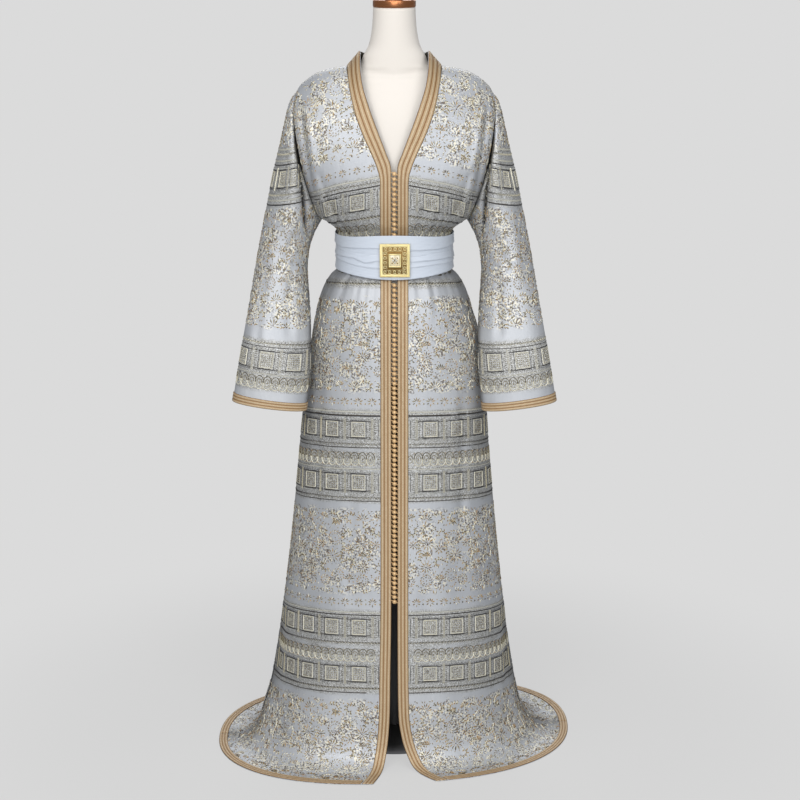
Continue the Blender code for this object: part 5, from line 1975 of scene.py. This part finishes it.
@dataclass
class Heap:
    """Many small closed shapes that become one object."""

    points: list = field(default_factory=list)
    faces: list = field(default_factory=list)
    slots: list = field(default_factory=list)
    count: int = 0

    def add(self, points: Array, faces: Sequence[Array], slot: int = 0) -> None:
        """Add a shape's points and faces in one of the object's finishes."""
        self.points.append(np.asarray(points, float).reshape(-1, 3))
        for group in faces:
            self.faces.append(np.asarray(group) + self.count)
            self.slots.append(np.full(len(group), slot))
        self.count += len(self.points[-1])

    def ball(self, centre: Array, radii: Array, sides: int = 8, rings: int = 5, slot: int = 0) -> None:
        """Add an ellipsoid."""
        lift = np.linspace(-math.pi / 2 + 0.02, math.pi / 2 - 0.02, rings)[:, None]
        turn = np.arange(sides) * FULL_TURN / sides
        sphere = np.stack(
            np.broadcast_arrays(np.cos(lift) * np.cos(turn), np.cos(lift) * np.sin(turn), np.sin(lift)), axis=-1
        )
        self.add(sphere * np.asarray(radii) + centre, capped(rings, sides), slot)

    def tube(self, line: Array, radius: float, sides: int = 6, slot: int = 0, ring: bool = False) -> None:
        """Add a round tube along a line, closed in a ring or capped at its ends."""
        line = np.asarray(line, float)
        if ring:
            way = unit(np.roll(line, -1, axis=0) - np.roll(line, 1, axis=0))
        else:
            way = unit(np.gradient(line, axis=0))
        first = unit(np.cross(way, np.array([0.31, 0.17, 0.94])))
        second = np.cross(way, first)
        turn = np.arange(sides) * FULL_TURN / sides
        round_part = first[:, None] * np.cos(turn)[None, :, None] + second[:, None] * np.sin(turn)[None, :, None]
        points = line[:, None] + radius * round_part
        number = np.arange(len(line) * sides).reshape(len(line), sides)
        if ring:
            number = np.concatenate([number, number[:1]])
        wide = np.concatenate([number, number[:, :1]], axis=1)
        quads = np.stack([wide[:-1, :-1], wide[:-1, 1:], wide[1:, 1:], wide[1:, :-1]], axis=-1).reshape(-1, 4)
        faces = [quads] if ring else [quads, number[0][::-1][None], number[-1][None]]
        self.add(points, faces, slot)

    def build(
        self, name: str, materials: Sequence[bpy.types.Material], smooth_shade: bool = True
    ) -> bpy.types.Object:
        """Make the object."""
        sizes: dict[int, list] = {}
        for group, slots in zip(self.faces, self.slots):
            sizes.setdefault(group.shape[1], []).append((group, slots))
        faces = [np.concatenate([group for group, _ in pairs]) for pairs in sizes.values()]
        slots = np.concatenate([np.concatenate([slot for _, slot in pairs]) for pairs in sizes.values()])
        return add_mesh(name, np.concatenate(self.points), faces, materials, slots, smooth_shade=smooth_shade)


@dataclass(frozen=True)
class Buttons:
    """Three runs of knotted balls with their loops, down the gap between the front edges."""

    pitch: float = 0.0100
    radius: float = 0.0047
    runs: tuple = (
        ("buttons_bodice", 1.1230, 1.2460),
        ("buttons_waist", 1.0205, 1.1195),
        ("buttons_skirt", 0.3500, 1.0170),
    )

    def build(self, edge: Array, finishes: Finishes) -> None:
        """Build the runs.

        Args:
            edge: Points along the front edge, rising.
            finishes: The finishes.
        """
        chance = np.random.default_rng(5)
        for node, low, high in self.runs:
            heap = Heap()
            count = int(round((high - low) / self.pitch))
            for step in range(count):
                height = low + (step + 0.5) * (high - low) / count
                depth = np.interp(height, edge[:, 2], edge[:, 1]) - 0.0016
                self.knot(heap, np.array([0.0004 * (chance.random() - 0.5), depth, height]), chance.random())
            settle(heap.build(f"{node}_knots", [finishes.cord]), "button_cord", node)

    def knot(self, heap: Heap, centre: Array, lean: float) -> None:
        """Add one ball of knotted cord, ridged where the cord crosses, and its two loops."""
        sides, rings = 14, 9
        lift = np.linspace(-math.pi / 2 + 0.03, math.pi / 2 - 0.03, rings)[:, None]
        turn = (np.arange(sides) * FULL_TURN / sides)[None]
        ridges = 0.10 * np.cos(4 * lift + 2 * turn) * np.cos(3 * turn - 2 * lift + lean)
        reach = self.radius * (1 + ridges * np.cos(lift))
        x = reach * np.cos(lift) * np.cos(turn)
        y = reach * np.cos(lift) * np.sin(turn) * 0.95
        z = reach * np.sin(lift) * 0.98 + 0 * turn
        tilt = 0.45
        ball = np.stack([x * math.cos(tilt) - z * math.sin(tilt), y, x * math.sin(tilt) + z * math.cos(tilt)], axis=-1)
        heap.add(ball + centre, capped(rings, sides))
        for way in (-1, 1):
            part = np.linspace(0, 1, 5)
            x = centre[0] + way * (self.radius * 0.55 + 0.0052 * part)
            z = centre[2] - 0.0024 * way + 0.0012 * np.sin(part * math.pi)
            y = centre[1] + 0.0004 - 0.0012 * np.sin(part * math.pi) + 0.0002 * part
            heap.tube(np.stack([x, y, z], axis=1), 0.0008, 5)


@dataclass(frozen=True)
class Belt:
    """The sash: cloth laid in lengthwise pleats whose edges run unevenly round the waist."""

    squareness: float = 2.3
    bottom: float = 1.0320
    top: float = 1.1060
    drop: float = 0.0085
    rise: float = 0.0085
    half_width: float = 0.1216
    front: float = 0.1112
    back: float = 0.0982
    waisting: float = 0.0015
    pleat: float = 0.0034
    lines: tuple = (
        ((-180, 1.0835), (-90, 1.0852), (-60, 1.0828), (-12, 1.0869), (19, 1.0824), (47, 1.0819),
         (90, 1.0836), (180, 1.0835)),
        ((-180, 1.0715), (-90, 1.0735), (-40, 1.0758), (-12, 1.0740), (17, 1.0701), (40, 1.0742),
         (85, 1.0711), (180, 1.0715)),
        ((-180, 1.0590), (-84, 1.0616), (-42, 1.0643), (-25, 1.0565), (-12, 1.0612), (13, 1.0592), (34, 1.0600),
         (60, 1.0599), (86, 1.0551), (180, 1.0590)),
        ((-180, 1.0490), (-66, 1.0543), (-35, 1.0493), (-12, 1.0460), (14, 1.0479), (40, 1.0503),
         (78, 1.0479), (180, 1.0490)),
    )
    depths: tuple = (1.0, 0.45, 1.15, 0.8)

    def relief(self, degrees: Array, height: Array, low: Array, high: Array) -> Array:
        """Tell how far the pleats stand out at a place."""
        marks = [pairs_at(line, degrees) for line in self.lines]
        tops, bottoms = [high, *marks], [*marks, low]
        out = np.zeros_like(height)
        for number, (top, bottom) in enumerate(zip(tops, bottoms)):
            inside = (height <= top) & (height > bottom)
            fall = np.clip((top - height) / np.maximum(top - bottom, 1e-6), 0, 1)
            depth = self.depths[number] if number < len(self.depths) else 0.5
            body = 0.35 + 0.65 * fall**1.4
            edge = ease((height - bottom) / 0.0016)
            out = np.where(inside, depth * body * (0.25 + 0.75 * edge), out)
        tuck = np.exp(-(((np.abs(degrees) - 88) / 7) ** 2)) * np.sin(height * 1900 + degrees * 0.2)
        crease = 0.12 * np.sin(degrees * 0.31 + height * 260) * np.sin(height * 900 - degrees * 0.05)
        return self.pleat * out + 0.0007 * tuck + 0.0010 * crease

    def surface(self, part: Array, degrees: Array) -> Array:
        """Give the points of the belt's face at parts of its width and turns from centre front."""
        turn = np.radians(degrees)
        ahead = np.clip(np.cos(turn), 0, 1) ** 4
        low = self.bottom - self.drop * ahead
        high = self.top + self.rise * ahead
        height = low + (high - low) * part
        out = self.relief(degrees, height, low, high) - self.waisting * np.sin(part * math.pi)
        power = 2 / self.squareness
        side_part = np.sign(np.sin(turn)) * np.abs(np.sin(turn)) ** power
        depth_part = np.sign(np.cos(turn)) * np.abs(np.cos(turn)) ** power
        depth = np.where(np.cos(turn) > 0, self.front, self.back)
        out = out * (1 - 0.8 * np.exp(-((degrees / 15) ** 2)))
        return np.stack([(self.half_width + out) * side_part, -(depth + out) * depth_part, height], axis=-1)

    def build(self, finishes: Finishes) -> bpy.types.Object:
        """Build the belt, closed all round."""
        part, degrees = np.meshgrid(np.linspace(0, 1, 61), np.linspace(-180, 180, 241), indexing="ij")
        panel = Panel("belt_sash", self.surface, part[:, 0], degrees[0])
        weave_and_shade = np.zeros((*part.shape, 4))
        obj = panel.shell(finishes.crepe, finishes.crepe, weave_and_shade, ring=True)
        obj["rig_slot"] = "belt_cloth"
        LOG.info("belt: flat %.3f by %.3f m, area %.4f m2", *panel.flat_size())
        return obj


@dataclass(frozen=True)
class Buckle:
    """The square gold buckle: plate, granulated rim, filigree ring, bezel and pale panel."""

    x: float = 0.0010
    z: float = 1.0643
    back: float = -0.1124
    width: float = 0.0610
    height: float = 0.0680
    plate: float = 0.0020
    rim: float = 0.0055
    bezel_width: float = 0.0250
    bezel_height: float = 0.0275
    band: float = 0.0025

    def slab(self, heap: Heap, w: float, h: float, back: float, front: float, soft: float, slot: int = 0) -> None:
        """Add a plate with rounded corners and a softened front edge."""
        turn = np.linspace(0, FULL_TURN, 48, endpoint=False)
        rings = []
        for shrink, y in ((0, back), (0, front + soft), (soft, front)):
            across = np.clip(1.4 * np.cos(turn), -1, 1)
            up = np.clip(1.4 * np.sin(turn), -1, 1)
            rings.append(
                np.stack([self.x + (w / 2 - shrink) * across, np.full(48, y), self.z + (h / 2 - shrink) * up], axis=1)
            )
        heap.add(np.stack(rings), capped(3, 48), slot)

    def round_square(self, w: float, h: float, count: int) -> Array:
        """Give points evenly round a rectangle in the buckle's plane."""
        corners = np.array([(-w, -h), (w, -h), (w, h), (-w, h), (-w, -h)]) / 2
        length = np.concatenate([[0], np.cumsum(np.linalg.norm(np.diff(corners, axis=0), axis=1))])
        at = np.linspace(0, length[-1], count, endpoint=False)
        return np.stack([np.interp(at, length, corners[:, k]) for k in (0, 1)], axis=1)

    def beads(self, heap: Heap, w: float, h: float, count: int, y: float, radius: float, slot: int = 0) -> None:
        """Add beads side by side round a rectangle."""
        for x, z in self.round_square(w, h, count):
            heap.ball(np.array([self.x + x, y, self.z + z]), (radius, radius, radius), 6, 5, slot)

    def frame(self, heap: Heap, w: float, h: float, band: float, back: float, front: float, slot: int = 0) -> None:
        """Add a flat rectangular frame with softened edges."""
        soft = min(band, back - front) * 0.3
        loops = [(0, back), (0, front + soft), (soft, front), (band - soft, front), (band, front + soft), (band, back)]
        corners = np.array([(-1, -1), (1, -1), (1, 1), (-1, 1)])
        points = []
        for shrink, y in loops:
            across, up = corners[:, 0] * (w / 2 - shrink), corners[:, 1] * (h / 2 - shrink)
            points.append(np.stack([self.x + across, np.full(4, y), self.z + up], axis=1))
        number = np.arange(24).reshape(6, 4)
        wide = np.concatenate([number, number[:1]])
        wide = np.concatenate([wide, wide[:, :1]], axis=1)
        heap.add(np.concatenate(points), [quads_of(wide)], slot)

    def build(self, finishes: Finishes) -> None:
        """Build the four pieces."""
        face = self.back - self.plate
        gold, recess = finishes.gold, finishes.recess
        plate = Heap()
        self.slab(plate, self.width, self.height, self.back, face, 0.0004, 1)
        inner_w, inner_h = self.width - 2 * self.rim, self.height - 2 * self.rim
        count = 18
        for x, z in self.round_square(inner_w - 0.0098, inner_h - 0.0098, count):
            turn = np.linspace(0, FULL_TURN, 12, endpoint=False)
            across, up = self.x + x + 0.0029 * np.cos(turn), self.z + z + 0.0029 * np.sin(turn)
            ring = np.stack([across, np.full(12, face - 0.0006), up], axis=1)
            plate.tube(ring, 0.00062, 6, 0, ring=True)
            plate.ball(np.array([self.x + x, face - 0.0004, self.z + z]), (0.0009, 0.0007, 0.0009), 6, 5, 0)
        for inset, number in ((0.0016, 92), (0.0180, 54)):
            self.beads(plate, inner_w - inset, inner_h - inset, number, face - 0.0005, 0.00085)
        settle(plate.build("buckle_plate_gold", [gold, recess]), "buckle_gold", "buckle_plate")
        on_plate = face - GAP
        rim = Heap()
        self.frame(rim, self.width, self.height, self.rim, on_plate, on_plate - 0.0010)
        for inset, number, radius in ((0.0016, 118, 0.0010), (0.0054, 104, 0.0010), (0.0092, 92, 0.0009)):
            self.beads(rim, self.width - inset, self.height - inset, number, on_plate - 0.0013, radius)
        settle(rim.build("buckle_frame_gold", [gold, recess]), "buckle_gold", "buckle_frame")
        bezel = Heap()
        self.frame(bezel, self.bezel_width, self.bezel_height, self.band, on_plate, on_plate - 0.0026)
        self.beads(bezel, self.bezel_width - 0.0024, self.bezel_height - 0.0024, 52, on_plate - 0.0027, 0.0007)
        settle(bezel.build("buckle_bezel_gold", [gold, recess]), "buckle_gold", "buckle_bezel")
        inset = 2 * (self.band + GAP)
        stone = Heap()
        wide, tall = self.bezel_width - inset, self.bezel_height - inset
        self.slab(stone, wide, tall, on_plate, on_plate - 0.0012, 0.0003, 0)
        for turn in (0, math.pi / 2, math.pi, 1.5 * math.pi):
            reach = np.array([math.cos(turn), 0, math.sin(turn)]) * 0.0036
            size = (0.0026, 0.0011, 0.0019) if abs(reach[0]) > 1e-6 else (0.0019, 0.0011, 0.0026)
            stone.ball(np.array([self.x, on_plate - 0.0014, self.z]) + reach, size, 8, 5, 1)
        for turn in (math.pi / 4, 0.75 * math.pi, 1.25 * math.pi, 1.75 * math.pi):
            reach = np.array([math.cos(turn), 0, math.sin(turn)]) * 0.0076
            stone.ball(np.array([self.x, on_plate - 0.0013, self.z]) + reach, (0.0014, 0.0009, 0.0014), 8, 5, 2)
            stone.ball(np.array([self.x, on_plate - 0.0013, self.z]) + reach * 0.56, (0.0009, 0.0007, 0.0009), 6, 5, 2)
        stone.ball(np.array([self.x, on_plate - 0.0016, self.z]), (0.0014, 0.0010, 0.0014), 8, 5, 2)
        settle(
            stone.build("buckle_stone_panel", [finishes.enamel, finishes.crystal, finishes.recess]),
            "buckle_stone", "buckle_stone",
        )


# ---------------------------------------------------------------------------------------------
# The dress form and the stand
# ---------------------------------------------------------------------------------------------

FORM = Table(
    "height half_width front back power",
    (
        (0.8000, 0.142, 0.092, 0.104, 2.2),
        (0.8040, 0.148, 0.098, 0.110, 2.2),
        (0.8600, 0.158, 0.106, 0.118, 2.2),
        (0.9300, 0.148, 0.102, 0.112, 2.2),
        (1.0000, 0.116, 0.088, 0.088, 2.2),
        (1.0310, 0.104, 0.083, 0.082, 2.2),
        (1.1070, 0.103, 0.084, 0.081, 2.2),
        (1.1350, 0.116, 0.095, 0.090, 2.2),
        (1.2000, 0.152, 0.108, 0.101, 2.2),
        (1.2600, 0.170, 0.104, 0.100, 2.2),
        (1.3200, 0.180, 0.092, 0.093, 2.1),
        (1.3650, 0.182, 0.076, 0.082, 2.0),
        (1.3950, 0.176, 0.060, 0.070, 1.8),
        (1.4120, 0.166, 0.051, 0.062, 1.6),
        (1.4240, 0.148, 0.046, 0.056, 1.4),
        (1.4320, 0.120, 0.044, 0.053, 1.4),
        (1.4380, 0.090, 0.044, 0.051, 1.6),
        (1.4480, 0.0710, 0.044, 0.050, 2.0),
        (1.4650, 0.0635, 0.0440, 0.0480, 2.0),
        (1.4900, 0.0510, 0.0440, 0.0460, 2.0),
        (1.5250, 0.0447, 0.0435, 0.0455, 2.0),
        (1.5620, 0.0425, 0.0425, 0.0435, 2.0),
    ),
)


@dataclass(frozen=True)
class Form:
    """The padded form with its copper cap and turned knob, and the stand that carries it."""

    sides: int = 88
    cap_radius: float = 0.0435
    knob: tuple = (
        (1.5773, 0.0180), (1.5830, 0.0170), (1.5900, 0.0230), (1.6000, 0.0270),
        (1.6100, 0.0240), (1.6170, 0.0150), (1.6200, 0.0060),
    )
    pole: tuple = ((0.0143, 0.0125), (0.7997, 0.0125))
    base: tuple = ((0.0, 0.1400), (0.0060, 0.1400), (0.0100, 0.1360), (0.0120, 0.1200), (0.0140, 0.0300))

    def torso(self, finishes: Finishes) -> bpy.types.Object:
        """Build the padded body and neck."""
        rows = np.linspace(0, len(FORM.rows) - 1, 127)
        turn = np.arange(self.sides) * FULL_TURN / self.sides
        height, half, front, back, power = (FORM.read(name, rows)[:, None] for name in FORM.names)
        side_part, depth_part = np.cos(turn)[None], np.sin(turn)[None]
        x = half * np.sign(side_part) * np.abs(side_part) ** (2 / power)
        depth = np.where(depth_part > 0, back, front)
        y = depth * np.sign(depth_part) * np.abs(depth_part) ** (2 / power)
        points = np.stack(np.broadcast_arrays(x, y, height), axis=-1).reshape(-1, 3)
        obj = add_mesh("form_torso_linen", points, capped(len(rows), self.sides), [finishes.linen])
        return settle(obj, "form_linen", "form_torso")

    def turned(self, name: str, profile: Sequence, material: object, slot: str, node: str, sharp: float = 40) -> object:
        """Build one turned piece."""
        points, faces = turned_shape(np.array(profile), self.sides)
        obj = add_mesh(name, points, faces, [material])
        obj.data.set_sharp_from_angle(angle=math.radians(sharp))
        return settle(obj, slot, node)

    def build(self, finishes: Finishes) -> bpy.types.Object:
        """Build the form and its stand, and give the torso."""
        torso = self.torso(finishes)
        r = self.cap_radius
        cap = ((1.5623, r - 0.001), (1.5643, r), (1.5750, r), (1.5770, r - 0.002))
        self.turned("neck_cap_copper", cap, finishes.copper, "copper", "neck_cap")
        heights = np.linspace(self.knob[0][0], self.knob[-1][0], 25)
        profile = np.stack([heights, pairs_at(self.knob, heights)], axis=1)
        self.turned("cap_knob_wood", profile, finishes.wood, "turned_wood", "cap_knob")
        self.turned("stand_pole_coated", self.pole, finishes.coat, "stand_metal", "stand_pole")
        self.turned("stand_base_coated", self.base, finishes.coat, "stand_metal", "stand_base")
        return torso


# ---------------------------------------------------------------------------------------------
# The studio
# ---------------------------------------------------------------------------------------------


@dataclass(frozen=True)
class Studio:
    """Pale floor and wall of light, large soft lamps and the camera."""

    ground: tuple = linear(219, 219, 219)
    catch: float = 0.24
    shade: float = 0.26

    def floor(self) -> None:
        """Lay the pale floor."""
        points = np.array([(-60, -60, 0), (60, -60, 0), (60, 60, 0), (-60, 60, 0)], float)
        made = Nodes("pale_floor")
        far = made.add("VectorMath", {0: made.place}, operation="LENGTH").outputs["Value"]
        links = {"Value": far, "From Min": 0.55, "From Max": 1.30, "To Min": 1.0, "To Max": 0.0}
        near = made.add("MapRange", links, interpolation_type="SMOOTHSTEP").outputs["Result"]
        cloud = made.noise(made.place, 3.0)
        share = made.math("MULTIPLY", near, made.spread(cloud, 0.96, 1.0))
        made.link(made.mix(share, (0.0, 0.0, 0.0), tuple(self.catch * c for c in self.ground)), "Base Color")
        glow = made.mix(near, self.ground, tuple((1 - self.shade) * c for c in self.ground))
        made.link(glow, "Emission Color")
        made.set(Roughness=0.9, Emission_Strength=1.0, Specular_IOR_Level=0.0)
        obj = add_mesh("studio_floor", points, [np.array([(0, 1, 2, 3)])], [made.material])
        obj.visible_diffuse = False
        obj.visible_glossy = False

    def world(self) -> None:
        """Make the air: pale to the camera, dim as a light."""
        world = bpy.data.worlds.new("studio_air")
        bpy.context.scene.world = world
        world.use_nodes = True
        tree = world.node_tree
        seen = tree.nodes["Background"]
        seen.inputs["Color"].default_value = (*self.ground, 1.0)
        light = tree.nodes.new("ShaderNodeBackground")
        light.inputs["Color"].default_value = (0.96, 0.98, 1.0, 1.0)
        light.inputs["Strength"].default_value = 0.27
        path = tree.nodes.new("ShaderNodeLightPath")
        mix = tree.nodes.new("ShaderNodeMixShader")
        tree.links.new(path.outputs["Is Camera Ray"], mix.inputs["Fac"])
        tree.links.new(light.outputs["Background"], mix.inputs[1])
        tree.links.new(seen.outputs["Background"], mix.inputs[2])
        tree.links.new(mix.outputs["Shader"], tree.nodes["World Output"].inputs["Surface"])

    def lamp(self, name: str, place: tuple, aim: tuple, size: tuple, power: float, colour: tuple) -> None:
        """Hang one soft rectangular lamp."""
        data = bpy.data.lights.new(name, "AREA")
        data.shape = "RECTANGLE"
        data.size, data.size_y = size
        data.energy = power
        data.color = colour
        obj = bpy.data.objects.new(name, data)
        obj.location = place
        way = np.array(aim) - np.array(place)
        flat = math.hypot(way[0], way[1])
        obj.rotation_euler = (math.atan2(flat, -way[2]), 0, math.atan2(-way[0], way[1]))
        bpy.context.scene.collection.objects.link(obj)

    def camera(self) -> None:
        """Set up the camera."""
        data = bpy.data.cameras.new("camera")
        data.lens = 92.2
        data.sensor_width = 36
        data.dof.use_dof = False
        data.clip_end = 200
        obj = bpy.data.objects.new("camera", data)
        obj.location = (0.0115, -4.2, 1.8)
        obj.rotation_euler = (math.radians(75.9), 0, 0)
        bpy.context.scene.collection.objects.link(obj)
        bpy.context.scene.camera = obj

    def build(self) -> None:
        """Build the studio."""
        self.floor()
        self.world()
        self.camera()
        self.lamp("key", (-1.5, -3.8, 3.0), (0, 0, 0.95), (2.0, 2.2), 84, (1.0, 0.985, 0.96))
        self.lamp("fill", (1.9, -3.9, 2.2), (0, 0, 0.9), (1.8, 2.2), 56, (1.0, 1.0, 0.99))
        self.lamp("low", (0.0, -4.8, 0.8), (0, 0, 0.4), (2.4, 0.9), 40, (1.0, 0.995, 0.98))
        self.lamp("top", (0.0, -0.6, 4.2), (0, 0, 1.0), (1.8, 1.2), 26, (1.0, 1.0, 1.0))
        self.lamp("rear", (0.0, 3.6, 3.0), (0, 0, 0.9), (2.4, 2.0), 46, (1.0, 1.0, 1.0))
        bpy.context.scene.view_settings.view_transform = "Standard"
        bpy.context.scene.render.film_transparent = False


SHEETS = {
    "front_right": SheetFacts(0.49, 1.62, 0.425, "hung"),
    "front_left": SheetFacts(0.48, 1.62, 0.421, "hung"),
    "back": SheetFacts(1.09, 1.60, 0.89, "hung"),
    "sleeve_right": SheetFacts(0.63, 0.66, 0.19, "hung"),
    "sleeve_left": SheetFacts(0.63, 0.66, 0.19, "hung"),
    "collar_back": SheetFacts(0.26, 0.042, 0.0088, "stretched"),
    "belt_sash": SheetFacts(0.74, 0.105, 0.0777, "folded"),
}


def main() -> None:
    """Build the part and its studio."""
    logging.basicConfig(level=logging.INFO, format="%(name)s: %(message)s")
    finishes = Finishes()
    torso = Form().build(finishes)
    garment = Garment(finishes)
    made = {f"front_{side.word}": garment.front(side) for side in Side}
    made["back"] = garment.back()
    made["collar_back"] = garment.collar()
    for side in Side:
        made[f"sleeve_{side.word}"] = garment.sleeve_of(side)
    made["belt_sash"] = (Belt().build(finishes), [])
    rows = np.linspace(0, garment.cut.top_row, 400)
    edge = garment.cut.front(Side.LEFT)(rows, np.zeros_like(rows))
    Buttons().build(edge[np.argsort(edge[:, 2])], finishes)
    Buckle().build(finishes)
    for name, (cloth, pieces) in made.items():
        SHEETS[name].declare(cloth, [torso.name], pieces)
    Studio().build()


if __name__ == "__main__":
    main()
